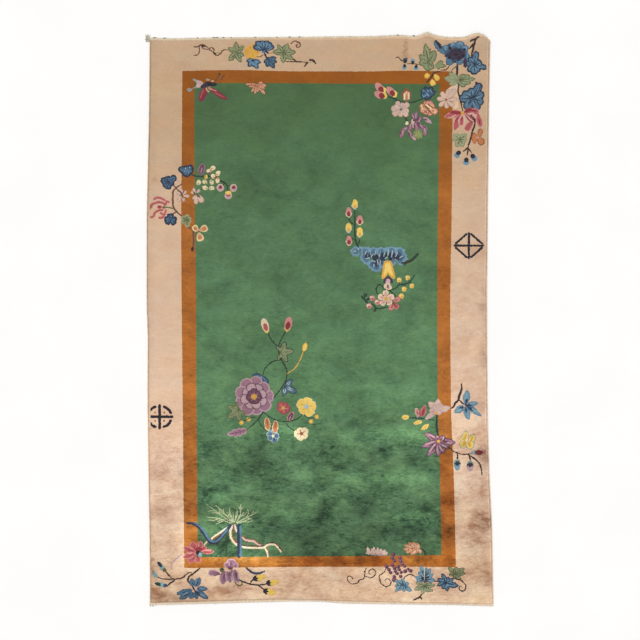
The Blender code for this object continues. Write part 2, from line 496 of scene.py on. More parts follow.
# ---------------------------------------------------------------- field and band
# Where the narrow band's four lines run. They wander a little, as the weaving did.
BAND_SIDE_COLUMNS = ("row", "left_out", "left_in", "right_in", "right_out")
BAND_SIDES = [
    (60.0, 182.4, 194.2, 440.2, 453.0),
    (150.0, 181.8, 194.4, 438.8, 452.2),
    (220.0, 181.2, 195.0, 437.9, 451.6),
    (300.0, 181.6, 196.0, 437.3, 450.3),
    (400.0, 182.7, 196.4, 437.8, 451.0),
    (480.0, 183.4, 197.1, 440.1, 453.9),
    (580.0, 184.4, 197.9, 442.1, 456.2),
]
BAND_END_COLUMNS = ("column", "far_out", "far_in", "near_in", "near_out")
BAND_ENDS = [
    (170.0, 71.4, 83.0, 557.4, 568.2),
    (230.0, 70.0, 83.0, 557.0, 567.6),
    (300.0, 71.3, 83.3, 556.4, 566.9),
    (370.0, 71.4, 83.7, 556.0, 566.8),
    (400.0, 70.7, 83.8, 555.6, 566.8),
    (460.0, 71.6, 84.0, 554.9, 567.2),
]


def band_side(which, row):
    return curve(
        column(BAND_SIDES, BAND_SIDE_COLUMNS, "row"),
        column(BAND_SIDES, BAND_SIDE_COLUMNS, which),
        row,
    )


def band_end(which, col):
    return curve(
        column(BAND_ENDS, BAND_END_COLUMNS, "column"),
        column(BAND_ENDS, BAND_END_COLUMNS, which),
        col,
    )


def framed(left, right, far_edge, near_edge):
    """The outline between two side lines and two end lines, knot by knot uneven."""
    corners = []
    for l_name, e_name in ((left, far_edge), (right, far_edge), (right, near_edge), (left, near_edge)):
        x, y = 300.0, 300.0
        for _ in range(6):
            x = float(band_side(l_name, y))
            y = float(band_end(e_name, x))
        corners.append((x, y))
    (x0, y0), (x1, y1), (x2, y2), (x3, y3) = corners
    across = np.linspace(x0, x1, 190)
    down = np.linspace(y1, y2, 330)
    back = np.linspace(x2, x3, 190)
    up = np.linspace(y3, y0, 330)
    pts = np.vstack(
        [
            np.stack([across, band_end(far_edge, across)], 1)[:-1],
            np.stack([band_side(right, down), down], 1)[:-1],
            np.stack([back, band_end(near_edge, back)], 1)[:-1],
            np.stack([band_side(left, up), up], 1)[:-1],
        ]
    )
    return pts + rng.normal(0, 0.11, pts.shape)


DRAWN.append((framed("left_out", "right_out", "far_out", "near_out"), "amber", 0.35))
DRAWN.append((framed("left_in", "right_in", "far_in", "near_in"), "green", 0.35))
GROUNDS = len(DRAWN)


# ---------------------------------------------------------------- the sprays
def far_border_spray():
    # A scrolling tendril of two strands.
    strands_drawn(
        "brown",
        (1.2, (193.2, 55.5), (197.6, 54.7), (199.3, 51.0), (199.2, 46.4)),
        (1.5, (193.8, 46.6), (197.4, 46.8), (200.8, 44.8), (204.4, 45.4), (208.6, 48.3), (210.4, 48.6)),
        (1.1, (201.2, 46.4), (203.8, 48.7), (207.4, 49.4), (210.2, 50.4)),
        (1.3, (209.4, 48.8), (211.0, 47.3), (213.4, 48.4), (213.9, 50.8), (212.6, 52.4)),
        (1.5, (210.0, 50.2), (213.0, 51.8), (215.6, 54.6), (218.0, 55.3), (220.8, 53.2), (222.8, 50.6), (225.4, 49.8), (229.4, 50.3)),
    )
    strands_drawn("bark", (2.0, (201.2, 45.6), (204.2, 46.4)), (1.9, (213.6, 52.8), (215.8, 54.6)), furrow=0.15)
    stroke([(216.4, 52.8), (219.8, 53.0)], 0.9, "lime", furrow=0.1)
    foliage(236.4, 52.4, 0, ((-2, 10.6, 5.6), (-62, 9.8, 5.6), (-138, 12.0, 5.8), (156, 11.2, 5.6), (112, 8.8, 4.8), (50, 10.4, 5.0)), "sage", "moss", rim=0.8, shine="reed", vein="moss", teeth=0.36)
    rosette(252.3, 51.9, 7.6, 5, "gold", turn=-32, plump=1.35, core="gold", vary=0.07)
    for x, y, size in ((250.0, 47.6, 1.8), (257.2, 52.6, 2.0), (247.4, 51.6, 1.0), (252.6, 55.2, 1.2)):
        disc(x, y, size, size * 0.8, "orange", furrow=0.1)
    foliage(263.8, 50.6, 0, ((-66, 11.2, 5.6), (-38, 12.4, 6.4), (-10, 11.0, 6.6), (20, 11.2, 6.4), (46, 11.2, 5.8), (68, 11.2, 5.0)), "blue", "navy", rim=1.2, shine="sky", vein="navy", tip="round")
    foliage(253.8, 60.4, 0, ((-94, 7.8, 5.0), (-136, 8.4, 5.6), (-172, 6.8, 4.6), (156, 9.6, 5.8), (108, 7.4, 5.0)), "blue", "navy", rim=1.0, shine="sky")
    disc(253.0, 60.6, 2.6, 2.2, "ink", furrow=0.1)
    foliage(269.4, 60.0, 0, ((-116, 6.2, 5.6), (-160, 7.4, 5.8), (150, 10.0, 5.8), (108, 8.2, 5.6), (70, 7.8, 5.2), (16, 3.4, 4.6)), "indigo", "navy", rim=1.0, shine="blue")
    stroke([(256.8, 56.8), (260.8, 56.4), (263.4, 54.6)], 1.1, "rust")
    stroke([(269.4, 53.4), (274.0, 52.8)], 1.0, "orange")
    strands_drawn("ink", (1.8, (265.4, 51.0), (268.6, 53.4)), (1.9, (264.6, 53.4), (266.0, 56.6), (267.6, 59.4)))
    foliage(283.2, 53.2, 0, ((-34, 10.4, 5.4), (-78, 10.6, 6.2), (28, 11.0, 6.6), (58, 9.4, 5.0), (84, 12.8, 6.2), (122, 12.0, 5.6), (178, 10.0, 6.2)), "sage", "moss", rim=0.8, shine="reed", vein="moss", teeth=0.36)
    stroke([(283.2, 49.4), (283.4, 58.8)], 1.4, "moss", furrow=0.1)
    curl(297.6, 45.4, 3.6, 1.15, 1, 1.3, "brown", stem=[(290.8, 44.2), (292.8, 42.0), (295.4, 40.9)])
    strands_drawn(
        "bark",
        (1.1, (285.4, 61.4), (292.0, 61.6), (300.0, 61.8), (308.6, 62.4)),
        (1.8, (293.4, 58.4), (295.0, 60.4), (296.6, 62.2)),
        (1.6, (307.8, 62.2), (306.0, 64.4), (304.2, 66.6)),
        (2.1, (309.2, 60.1), (312.8, 60.2), (315.6, 63.4)),
    )
    stroke([(310.4, 61.9), (313.4, 62.6)], 1.0, "grey", furrow=0.1)


def butterfly():
    strands_drawn("brown", (1.6, (215.4, 81.4), (217.8, 77.6), (219.9, 72.6)), (1.4, (220.6, 80.2), (222.8, 77.2), (224.6, 74.4)))
    disc(219.5, 74.0, 2.1, 2.1, "bark")
    petal(200.2, 82.6, -64, 8.2, 2.6, "grey", tip="oval")
    stroke([(198.8, 87.2), (195.2, 87.6), (191.6, 88.8)], 1.3, "grey")
    disc(189.6, 89.8, 5.6, 3.6, "grey", wave=0.06)
    disc(207.8, 79.6, 3.6, 2.0, "grey")
    disc(212.6, 81.0, 3.2, 1.8, "salmon")
    petal(203.0, 87.4, -42, 8.6, 6.0, "lilac", "dusk", tip="oval", rim=0.6)
    petal(200.4, 85.6, -96, 4.8, 3.4, "shell", tip="oval")
    stroke([(216.4, 84.4), (211.0, 84.3), (206.2, 83.4)], 4.2, "ink", 0.5, 0.9)
    stroke([(207.0, 84.6), (203.8, 86.0), (201.0, 87.4)], 4.0, "plum", 0.9, 0.5)
    disc(213.4, 84.0, 3.0, 1.8, "fir", furrow=0.1)
    petal(206.2, 87.2, 204, 16.0, 7.4, "crimson", "purple", tip="oval", rim=0.6)
    stroke([(203.6, 90.0), (201.6, 94.4), (200.2, 98.6)], 1.5, "rose", 0.7, 0.5, furrow=0.1)
    petal(208.4, 87.4, 123, 22.6, 5.4, "crimson", "purple", tip="oval", rim=0.5)
    stroke([(214.6, 92.4), (219.6, 95.0), (224.6, 97.6)], 1.3, "rose", 0.7, 0.6, furrow=0.1)
    stroke([(209.0, 86.6), (212.0, 89.4), (216.8, 91.2)], 1.1, "pink", furrow=0.15)
    strands_drawn("salmon", (1.5, (206.4, 87.6), (206.8, 89.8), (208.8, 92.0)), (1.0, (208.2, 87.4), (210.4, 90.2)), furrow=0.15)


def salmon_sprig():
    for turn, long, wide in ((-88, 12.4, 3.0), (-104, 9.6, 3.2), (-140, 9.6, 3.4), (-164, 10.6, 3.0), (176, 8.0, 3.0), (98, 9.4, 4.4), (118, 9.0, 3.6), (142, 12.8, 4.0), (64, 6.4, 3.2)):
        petal(257.4, 84.6, turn, long, wide, "salmon", "rust", "rust", tip="leaf", rim=0.45)
    for x, y in ((251.0, 85.6), (254.6, 87.0), (257.2, 86.0), (262.2, 89.6), (265.0, 87.4), (248.4, 85.2)):
        disc(x, y, 1.2, 1.0, "rust", furrow=0.1)


def left_spray():
    # Stems first, so that leaves and flowers lie over them.
    strands_drawn(
        "brown",
        (1.8, (181.2, 184.4), (176.6, 187.6), (173.3, 191.0), (172.8, 198.6), (173.1, 205.6), (175.8, 210.6), (181.6, 216.0)),
        (1.4, (173.2, 184.8), (177.0, 189.0), (181.6, 193.6)),
        (1.5, (176.4, 211.4), (173.6, 213.4), (171.6, 215.0)),
        (1.9, (187.4, 227.0), (192.4, 229.2), (193.4, 236.0), (193.5, 244.0), (192.6, 250.4)),
    )
    disc(192.4, 249.2, 2.8, 4.4, "bark")
    stroke([(163.6, 207.6), (168.6, 207.4), (173.4, 208.8)], 1.5, "moss")
    strands_drawn(
        "fir",
        (1.8, (192.0, 174.6), (196.0, 176.2), (203.0, 176.4), (210.0, 176.4), (216.4, 178.2), (221.0, 181.2), (226.2, 184.0), (227.8, 190.6)),
        (1.3, (224.0, 183.6), (222.4, 185.6)),
        (1.2, (228.0, 185.4), (231.2, 186.4)),
    )
    foliage(168.0, 182.4, 0, ((-66, 7.8, 6.6), (-8, 6.6, 6.4), (52, 10.4, 6.8), (96, 6.4, 6.0), (140, 5.4, 6.0), (184, 7.2, 7.4), (-122, 6.4, 6.0)), "blue", "navy", rim=1.5, shine="indigo", vein="navy", tip="round")
    foliage(187.0, 170.6, 0, ((-78, 9.0, 6.8), (-28, 5.6, 6.2), (14, 5.4, 6.0), (52, 7.4, 6.8), (104, 6.4, 6.6), (150, 5.6, 6.0), (184, 6.6, 7.2), (-126, 6.4, 6.0)), "blue", "navy", rim=1.5, shine="indigo", tip="round")
    for x, y in ((185.6, 168.4), (188.6, 172.4), (189.4, 167.6), (184.4, 171.2)):
        disc(x, y, 1.0, 1.0, "ice", furrow=0.1)
    foliage(170.4, 218.8, 0, ((-4, 5.4, 7.2), (-140, 7.0, 6.4), (-98, 6.6, 6.0), (140, 7.4, 6.6), (98, 6.6, 6.2)), "indigo", "navy", rim=1.6, shine="blue", tip="round")
    petal(200.4, 175.4, 12, 12.4, 6.4, "purple", "mauve", "lilac", tip="oval", rim=0.8)
    for x, y, turn in (
        (212.6, 168.2, 60), (209.2, 170.8, 250), (217.8, 173.4, 40), (213.2, 176.4, -34), (217.6, 180.0, 190), (198.6, 182.6, 20),
        (205.0, 182.0, -36), (211.6, 182.0, 160), (205.2, 187.8, -70), (211.4, 188.2, 80),
    ):
        petal(*spot(x, y, turn, -2.6), turn, 5.6, 4.4, "cream", "straw", None, tip="oval", rim=0.4)
        disc(*spot(x, y, turn, -1.3), 1.9, 1.6, "orange" if y < 181 else "lime", furrow=0.1)
    strands_drawn("rust", (1.6, (207.0, 173.4), (210.4, 172.6)), (1.5, (216.0, 178.4), (217.4, 176.6)), (1.2, (203.6, 179.6), (205.2, 180.8)), furrow=0.15)
    disc(206.0, 176.8, 3.8, 3.6, "yellow")
    disc(205.4, 176.6, 1.6, 1.6, "orange", furrow=0.1)
    for x, y, heart in ((220.3, 187.7, "crimson"), (233.5, 187.8, "crimson"), (228.2, 195.4, "rose")):
        disc(x, y, 7.4, 7.6, "dusk")
        disc(x, y, 5.8, 6.0, "lilac", furrow=0.2)
        disc(x + 0.2, y - 0.4, 3.6, 3.4, heart, wave=0.2, bumps=3, furrow=0.1)
    petal(228.2, 195.0, 0, 4.0, 6.0, "yellow", tip="round")
    for x, y, size, turns in ((182.0, 195.4, 6.6, (-58, -8, 42, 98, 160, 214)), (196.0, 193.8, 5.8, (-70, -26, 40, 208))):
        for k, turn in enumerate(turns):
            petal(*spot(x, y, turn, 0.8), turn, size * (1 + 0.14 * (k % 2)) - 0.8, size * 0.52, "dusk", "clay", None, rim=0.45)
    petal(198.2, 194.4, 152, 9.4, 6.0, "dusk", "clay", None, rim=0.6)
    petal(196.4, 195.4, 184, 9.0, 4.6, "shell", "clay", None, rim=0.6)
    strands_drawn(
        "brown",
        (1.1, (177.4, 189.6), (181.0, 192.6), (183.0, 198.2)),
        (0.9, (185.0, 190.4), (182.2, 193.4), (179.6, 196.4)),
        (1.3, (193.6, 191.6), (194.8, 195.2)),
        (1.3, (197.0, 193.8), (198.6, 195.6), (200.4, 198.2)),
        furrow=0.1,
    )
    # The rose drawn in lines only: a wide pale line under a dark one.
    lines = (
        ((154.0, 199.2), (157.0, 197.6), (161.0, 198.2), (164.8, 200.4)),
        ((165.6, 204.6), (166.4, 201.6), (169.0, 202.4)),
        ((149.6, 206.0), (153.4, 203.8), (158.6, 202.2), (163.0, 203.0), (165.2, 205.4)),
        ((146.6, 209.4), (149.4, 209.0), (151.8, 205.8)),
        ((150.4, 217.2), (153.4, 216.4), (154.8, 213.0), (158.6, 210.4), (163.0, 209.8)),
        ((158.8, 217.6), (162.2, 217.6), (164.4, 214.4), (166.0, 209.8)),
        ((160.2, 212.8), (163.4, 214.4)),
    )
    for line in lines:
        stroke(line, 3.0, "pink", 0.9, 0.9, furrow=0.35)
    for line in lines:
        stroke(line, 1.5, "rose", 1.0, 1.0, furrow=0.15)
    disc(148.4, 208.6, 4.0, 3.6, "rose")
    disc(159.6, 207.0, 5.0, 3.6, "rose")
    disc(159.4, 206.8, 2.8, 2.0, "crimson", furrow=0.1)
    disc(164.0, 207.4, 3.4, 2.8, "moss")
    foliage(186.4, 220.2, 0, ((-52, 6.4, 5.6), (12, 6.0, 6.2), (62, 5.6, 5.2), (112, 5.4, 5.4), (168, 7.2, 5.8), (-108, 6.0, 5.4)), "sage", "reed", rim=1.0, vein="moss", teeth=0.36)
    for x, y, turn, size in ((198.4, 231.8, -42, 8.0), (199.2, 230.6, 68, 9.0), (198.6, 232.2, 166, 9.2)):
        petal(x, y, turn, size, size * 0.8, "salmon", "straw", None, rim=1.2)
        petal(*spot(x, y, turn, size * 0.34), turn, size * 0.46, size * 0.36, "orange", tip="oval")
    disc(198.4, 231.8, 2.0, 2.0, "rust", furrow=0.1)


def corner_spray():
    # The tan ground reaches into the band here.
    put([(453.8, 79.0), (452.0, 86.0), (447.4, 89.4), (446.0, 96.0), (449.0, 104.0), (454.8, 108.4), (458.0, 108.0), (458.0, 76.0)], "tan", 0.1)
    # Twigs and stems.
    strands_drawn(
        "brown",
        (1.1, (395.6, 58.0), (397.8, 57.0), (400.4, 59.4), (403.2, 61.9)),
        (1.0, (407.0, 63.6), (412.0, 63.4), (417.4, 64.2), (422.4, 65.0)),
        (1.3, (449.6, 65.6), (446.4, 69.4), (441.0, 70.2)),
    )
    strands_drawn(
        "bark",
        (1.6, (440.6, 71.8), (434.8, 72.2), (432.4, 75.4), (429.0, 79.6), (426.4, 82.8)),
        (1.6, (457.8, 79.0), (458.4, 86.0), (458.2, 92.6), (460.4, 99.0), (462.6, 111.0)),
    )
    stroke([(446.0, 64.2), (449.6, 64.2)], 1.3, "plum")
    stroke([(456.0, 66.4), (451.8, 70.6), (452.4, 75.2), (455.8, 79.4)], 1.1, "moss")
    stroke([(457.4, 62.6), (457.2, 70.0), (457.0, 78.6)], 2.1, "ink")
    strands_drawn(
        "fir",
        (1.4, (384.4, 91.6), (388.4, 96.2), (394.0, 98.8), (401.0, 101.8), (408.4, 102.6), (415.6, 101.6), (423.4, 98.0)),
        (1.2, (394.2, 99.0), (396.4, 96.8)),
        (1.8, (403.4, 114.6), (405.4, 118.0), (407.4, 121.0)),
    )
    # Small buds on the far twig.
    for x, y, turn, tint in ((404.6, 63.4, 14, "indigo"), (412.6, 64.4, 4, "sky"), (404.8, 63.8, 186, "sky"), (416.0, 64.6, 176, "sky")):
        petal(x, y, turn, 5.8, 4.4, tint, tip="round")
        petal(x, y, turn, 3.8, 3.1, "ink", tip="oval")
    foliage(428.6, 63.4, 0, ((-10, 20.0, 7.0), (28, 14.8, 9.2), (-48, 13.0, 7.4), (-84, 10.0, 8.0), (190, 7.8, 10.0), (136, 7.6, 6.6)), "sage", "moss", rim=1.0, shine="reed", vein="moss", heart=0.3, teeth=0.36)
    stroke([(428.4, 62.0), (427.4, 56.0), (425.6, 50.0)], 1.1, "moss", furrow=0.1)
    foliage(436.6, 65.4, 0, ((56, 8.2, 4.8), (94, 9.6, 4.8), (140, 5.2, 4.6)), "sage", "moss", rim=0.8, teeth=0.36)
    # The large blue flower, seen side on.
    petal(445.6, 54.8, -40, 18.0, 6.8, "blue", "indigo", None, tip="oval", rim=0.7)
    stroke([(435.6, 40.6), (438.4, 44.2), (440.8, 48.0)], 2.4, "ink", 0.7, 0.9, furrow=0.2)
    for turn, long, wide, tint in ((-60, 16.0, 7.6, "blue"), (-40, 13.4, 5.6, "indigo"), (-24, 12.8, 8.2, "blue"), (4, 11.0, 6.0, "indigo"), (18, 13.6, 10.0, "blue"), (54, 13.4, 7.8, "blue")):
        petal(457.0, 54.2, turn, long, wide, tint, "indigo", None, rim=0.5)
        if tint == "blue":
            stroke([spot(457.0, 54.2, turn, long * 0.72, -wide * 0.22), spot(457.0, 54.2, turn, long * 0.88), spot(457.0, 54.2, turn, long * 0.74, wide * 0.24)], 1.5, "sky", furrow=0.1)
    petal(466.8, 50.4, 173, 17.0, 6.0, "blue", "indigo", "sky", rim=0.6)
    petal(464.8, 57.4, 177, 10.6, 4.0, "plum", tip="oval")
    petal(448.8, 52.6, 174, 13.0, 7.6, "blue", "indigo", None, rim=0.5)
    petal(458.8, 55.4, 172, 9.6, 7.8, "blue", "indigo", "sky", rim=0.6)
    petal(454.0, 57.0, 184, 5.6, 5.0, "indigo")
    disc(456.0, 54.0, 21.4, 13.6, "indigo", wave=0.08, bumps=9)
    disc(456.0, 54.2, 18.6, 11.4, "plum", wave=0.1, bumps=11)
    for k in range(16):
        at = spot(456.0, 54.2, 22.5 * k + 9, 4.4 + 1.6 * (k % 3))
        disc(456.0 + (at[0] - 456.0) * 1.35, at[1], 3.2, 2.6, ("navy", "indigo", "ink", "plum")[k % 4], furrow=0.1)
    for x, y, wide, high, tint in ((452.8, 58.2, 3.4, 2.6, "navy"), (458.8, 59.4, 3.4, 2.2, "navy"), (451.6, 50.8, 3.6, 2.4, "plum"), (459.2, 50.4, 3.2, 2.0, "ink"), (456.0, 54.6, 4.0, 2.6, "ink"), (463.0, 55.6, 2.6, 3.2, "ink"), (447.6, 52.4, 2.4, 2.4, "indigo")):
        disc(x, y, wide, high, tint, furrow=0.1)
    # The dark branch at the corner and its leaf.
    foliage(474.0, 64.0, 0, ((12, 13.0, 7.0), (60, 7.0, 6.0), (88, 8.4, 7.4), (108, 13.6, 5.6), (148, 9.6, 7.0), (178, 10.8, 7.8), (216, 9.6, 7.0), (-40, 8.4, 6.4)), "blue", "navy", rim=1.2, shine="sky", vein="navy", tip="round", teeth=0.34)
    stroke([(472.6, 60.0), (475.4, 58.6)], 1.4, "blue", furrow=0.1)
    strands_drawn(
        "bark",
        (2.2, (479.2, 36.4), (475.6, 39.4), (474.0, 44.0), (472.8, 50.0), (471.2, 56.0)),
        (1.9, (470.0, 42.0), (472.0, 40.4), (475.4, 39.4)),
        (1.8, (469.4, 48.6), (471.8, 46.2), (473.8, 43.4)),
    )
    # The pair of pale green leaves on the dark stem.
    foliage(457.0, 80.2, 0, ((-44, 10.8, 6.8), (-80, 12.8, 7.2), (-122, 9.0, 6.8)), "reed", "sage", rim=0.9, vein="sage", teeth=0.36)
    foliage(458.8, 80.2, 0, ((46, 8.6, 6.2), (68, 12.6, 6.2), (85, 17.0, 5.6), (104, 12.6, 6.6), (136, 9.2, 7.0)), "sage", "moss", rim=0.8, shine="reed", vein="moss", teeth=0.36)
    # Yellow buds.
    disc(427.0, 75.8, 5.8, 5.6, "gold", wave=0.05)
    disc(426.8, 75.6, 3.8, 3.6, "yellow", furrow=0.1)
    petal(434.2, 73.8, 146, 7.8, 5.4, "yellow", "gold", None, rim=0.7)
    petal(432.0, 79.0, 170, 7.0, 6.0, "yellow", "gold", None, rim=0.7)
    # Flowers and leaves in the field's corner.
    foliage(427.6, 96.0, 0, ((-84, 7.4, 6.0), (-46, 9.4, 7.0), (-12, 9.8, 7.0), (26, 10.6, 7.4), (60, 9.6, 6.4), (130, 4.4, 5.0), (210, 4.6, 6.0)), "indigo", "navy", rim=1.3)
    for line in (((422.4, 89.8), (424.8, 91.4)), ((425.8, 92.4), (427.4, 93.6), (429.0, 96.4)), ((430.0, 89.8), (431.8, 92.8)), ((424.4, 97.0), (425.8, 94.8), (428.0, 95.6)), ((427.2, 90.0), (428.8, 91.8)), ((422.6, 94.6), (423.6, 97.6))):
        stroke(line, 1.2, "sky", furrow=0.1)
    for turn, long, wide in ((-80, 9.4, 7.2), (-36, 8.0, 7.2), (8, 8.0, 7.0), (60, 7.4, 6.4), (118, 11.0, 7.6), (156, 8.4, 7.2), (212, 7.6, 7.2), (250, 9.0, 6.6)):
        petal(428.2, 108.0, turn, long, wide, "salmon", "rust", None, rim=0.8)
    disc(430.6, 103.0, 4.2, 3.2, "pink", furrow=0.2)
    strands_drawn("straw", (1.7, (425.0, 104.6), (428.6, 106.2), (431.4, 109.4)), (1.3, (421.4, 104.4), (422.6, 109.0)), (1.3, (433.4, 112.6), (435.4, 112.0)), furrow=0.1)
    strands_drawn("rust", (1.5, (422.8, 102.8), (426.0, 107.0), (431.8, 113.8)), (1.1, (427.8, 103.4), (429.4, 105.4), (434.4, 108.8)), (1.2, (424.6, 110.6), (427.2, 113.0)), furrow=0.1)
    disc(406.6, 94.8, 9.8, 12.2, "rust", wave=0.07, bumps=4)
    strands_drawn("orange", (6.4, (406.6, 99.0), (406.6, 92.4)), furrow=0.2)
    strands_drawn("cream", (1.8, (404.4, 99.6), (404.6, 93.4)), (1.9, (408.8, 99.6), (408.6, 92.4)), (1.3, (406.6, 91.6), (406.6, 93.6)), furrow=0.1)
    # Pink buds with yellow cups.
    for x, y, turn in ((384.2, 93.6, -34), (386.4, 98.0, -62), (395.4, 97.4, -34)):
        petal(x, y, turn + 16, 7.4, 6.2, "yellow", tip="oval")
        petal(*spot(x, y, turn - 4, 2.0), turn - 4, 11.4, 7.0, "pink", tip="oval")
        petal(*spot(x, y, turn - 2, 1.8), turn - 2, 6.6, 5.2, "crimson", tip="oval")
    for turn, long, wide in ((-26, 9.0, 6.2), (14, 6.6, 6.0), (52, 9.8, 7.2), (104, 8.0, 6.8), (136, 9.2, 6.8), (186, 7.2, 6.6), (236, 9.8, 7.8), (276, 9.6, 7.8), (-58, 7.6, 6.6)):
        petal(*spot(401.0, 109.4, turn, 1.0), turn, long - 0.6, wide - 1.2, "dusk", "clay", None, rim=0.45)
    for turn, long in ((-20, 5.6), (48, 6.0), (128, 6.0), (252, 6.4), (190, 4.6)):
        stroke([spot(401.0, 109.4, turn, 1.6), spot(401.0, 109.4, turn + 6, long)], 1.2, "lilac", furrow=0.1)
    disc(407.0, 123.2, 3.4, 3.6, "cream")
    # The mauve cluster.
    for x, y, turn, long, wide, tint in (
        (415.5, 119.0, 8, 8.4, 4.0, "mauve"), (414.2, 119.4, -20, 7.0, 3.4, "mauve"), (418.4, 122.2, 24, 7.4, 3.8, "mauve"),
        (423.2, 117.0, 127, 11.0, 4.8, "lilac"), (413.4, 128.2, -6, 10.0, 4.8, "dusk"), (417.0, 121.0, 154, 9.4, 4.8, "purple"),
        (415.0, 122.6, 166, 8.6, 4.4, "mauve"), (410.8, 123.2, 188, 8.8, 4.2, "mauve"), (407.8, 127.0, 236, 9.0, 4.4, "mauve"),
        (403.8, 129.2, 200, 9.8, 5.0, "mauve"), (408.4, 129.2, 157, 10.4, 4.2, "mauve"), (411.4, 136.2, 130, 6.6, 3.2, "lilac"),
        (422.2, 125.2, 143, 7.6, 4.6, "purple"), (424.6, 127.2, 175, 9.4, 4.6, "mauve"), (419.6, 124.6, 132, 6.4, 4.0, "mauve"),
    ):
        petal(x, y, turn, long, wide, tint, "lilac" if tint == "purple" else "purple", None if tint == "purple" else "lilac", tip="leaf", rim=0.5)
    strands_drawn("purple", (2.6, (413.4, 120.6), (417.6, 119.4), (419.0, 117.4)), (2.2, (399.6, 132.2), (401.6, 134.0)), (1.8, (408.6, 132.6), (409.6, 135.6)), (1.6, (414.6, 124.6), (415.2, 128.0)), (1.8, (424.2, 118.8), (427.0, 120.0)), furrow=0.15)
    disc(417.8, 134.6, 8.8, 8.4, "sage", wave=0.08, bumps=6)
    for a in range(9):
        at = spot(418.0, 134.4, a * 40, 3.4)
        petal(418.0, 134.4, a * 40 + 10, 5.2, 2.2, "lime" if a % 3 else "reed", tip="oval", rim=0.4)
        disc(at[0], at[1], 1.2, 1.2, "moss", furrow=0.1)
    # Pale flower lying across the band.
    for turn, long, wide in ((-82, 9.4, 6.2), (-34, 9.4, 6.2), (12, 10.8, 6.2), (42, 14.0, 7.4), (86, 10.4, 6.6), (130, 9.8, 6.4), (178, 8.6, 6.2), (228, 9.6, 6.0)):
        petal(*spot(446.4, 99.8, turn, 0.8), turn, long - 0.6, wide - 1.4, "dusk", "clay", None, rim=0.45)
    for turn in (-66, -18, 30, 64, 108, 160, 210):
        stroke([spot(446.4, 99.8, turn, 2.0), spot(446.4, 99.8, turn + 8, 6.6)], 1.0, "shell" if turn % 4 else "clay", furrow=0.1)
    # The large blue leaf.
    foliage(472.6, 98.0, 0, ((-10, 10.4, 8.2), (28, 17.0, 8.4), (69, 12.6, 8.6), (114, 12.2, 8.2), (154, 13.6, 9.2), (212, 13.8, 9.4), (-92, 13.6, 9.2), (-60, 11.8, 7.8)), "blue", "navy", rim=1.2, shine="sky", vein="navy", tip="round", heart=0.3, teeth=0.34)
    strands_drawn("navy", (1.2, (461.0, 98.6), (468.0, 98.4), (475.6, 95.6), (479.4, 88.4), (480.6, 85.4)), (1.0, (474.4, 97.6), (478.0, 102.6), (479.4, 106.6)), (1.0, (470.6, 98.6), (468.2, 103.6)), furrow=0.1)
    petal(478.6, 84.6, -52, 4.6, 2.4, "plum", tip="point")
    # The rose hanging under it.
    for x, y, turn, long, wide, tint in (
        (462.6, 112.6, -103, 19.4, 6.8, "rose"), (462.6, 112.6, -88, 13.0, 4.6, "crimson"), (460.8, 114.0, -158, 18.0, 7.4, "rose"),
        (462.0, 113.6, -177, 12.4, 4.8, "rose"), (473.2, 120.4, 217, 13.0, 6.8, "rose"), (463.4, 112.4, 86, 15.8, 6.8, "rose"),
        (463.4, 112.6, 64, 9.6, 4.6, "crimson"), (463.6, 113.4, 121, 15.2, 5.2, "rose"), (477.2, 111.6, 167, 16.0, 5.8, "rose"),
    ):
        petal(x, y, turn, long, wide, tint, "pink" if tint == "rose" else "rose", None, tip="leaf" if long > 17 else "round", rim=0.8)
    strands_drawn(
        "shell",
        (1.2, (462.0, 115.0), (459.4, 119.4), (458.4, 125.0)),
        (1.2, (463.6, 115.4), (464.8, 120.4), (463.8, 126.0)),
        (1.1, (465.4, 114.6), (469.8, 118.6), (473.0, 121.0)),
        (1.2, (468.0, 113.6), (473.0, 113.4), (476.0, 117.0)),
        (1.1, (456.4, 114.6), (451.0, 117.4), (447.6, 117.4)),
        furrow=0.1,
    )
    strands_drawn(
        "crimson",
        (1.5, (461.0, 113.4), (456.0, 113.4), (450.6, 112.6)),
        (1.4, (462.2, 116.4), (461.4, 120.4)),
        (1.5, (466.0, 110.8), (470.6, 109.8), (476.0, 111.4)),
        (1.4, (465.6, 116.0), (468.4, 119.4), (472.6, 123.2)),
        (1.3, (457.6, 117.0), (455.4, 121.6)),
        (1.2, (479.4, 119.4), (479.8, 124.0)),
        furrow=0.1,
    )
    disc(462.5, 113.2, 3.6, 4.0, "gold")
    strands_drawn(
        "bark",
        (1.8, (471.0, 115.4), (474.0, 119.0), (475.0, 123.6), (472.6, 131.0), (470.8, 138.0), (468.4, 145.6), (467.4, 155.0)),
        (1.5, (468.2, 147.0), (466.0, 149.2), (463.2, 151.6)),
        (1.5, (468.8, 148.8), (470.2, 150.8), (471.6, 152.8)),
    )
    foliage(460.4, 139.6, 0, ((-52, 9.4, 5.8), (0, 5.2, 6.0), (48, 8.6, 6.6), (94, 7.0, 5.8), (158, 8.2, 6.6), (212, 8.6, 6.8), (-94, 8.2, 5.8)), "reed", "sage", rim=0.9, vein="moss", teeth=0.36)
    petal(475.0, 143.8, -4, 11.2, 6.2, "orange", "rust", None, tip="oval", rim=0.8)
    petal(478.2, 138.2, 20, 10.0, 5.4, "orange", "rust", None, rim=0.8)
    petal(478.4, 136.4, 152, 9.6, 7.0, "orange", "rust", None, rim=0.8)
    disc(477.8, 137.6, 3.2, 2.4, "salmon", furrow=0.1)
    for x, y, turn in ((459.8, 151.0, 214), (466.4, 157.6, 182), (471.6, 154.4, 144)):
        petal(x, y, turn, 7.8, 5.8, "sky", tip="round")
        petal(*spot(x, y, turn, -0.4), turn, 5.2, 4.7, "ink", tip="oval")
        disc(*spot(x, y, turn, 2.8), 2.4, 1.6, "navy", furrow=0.1)


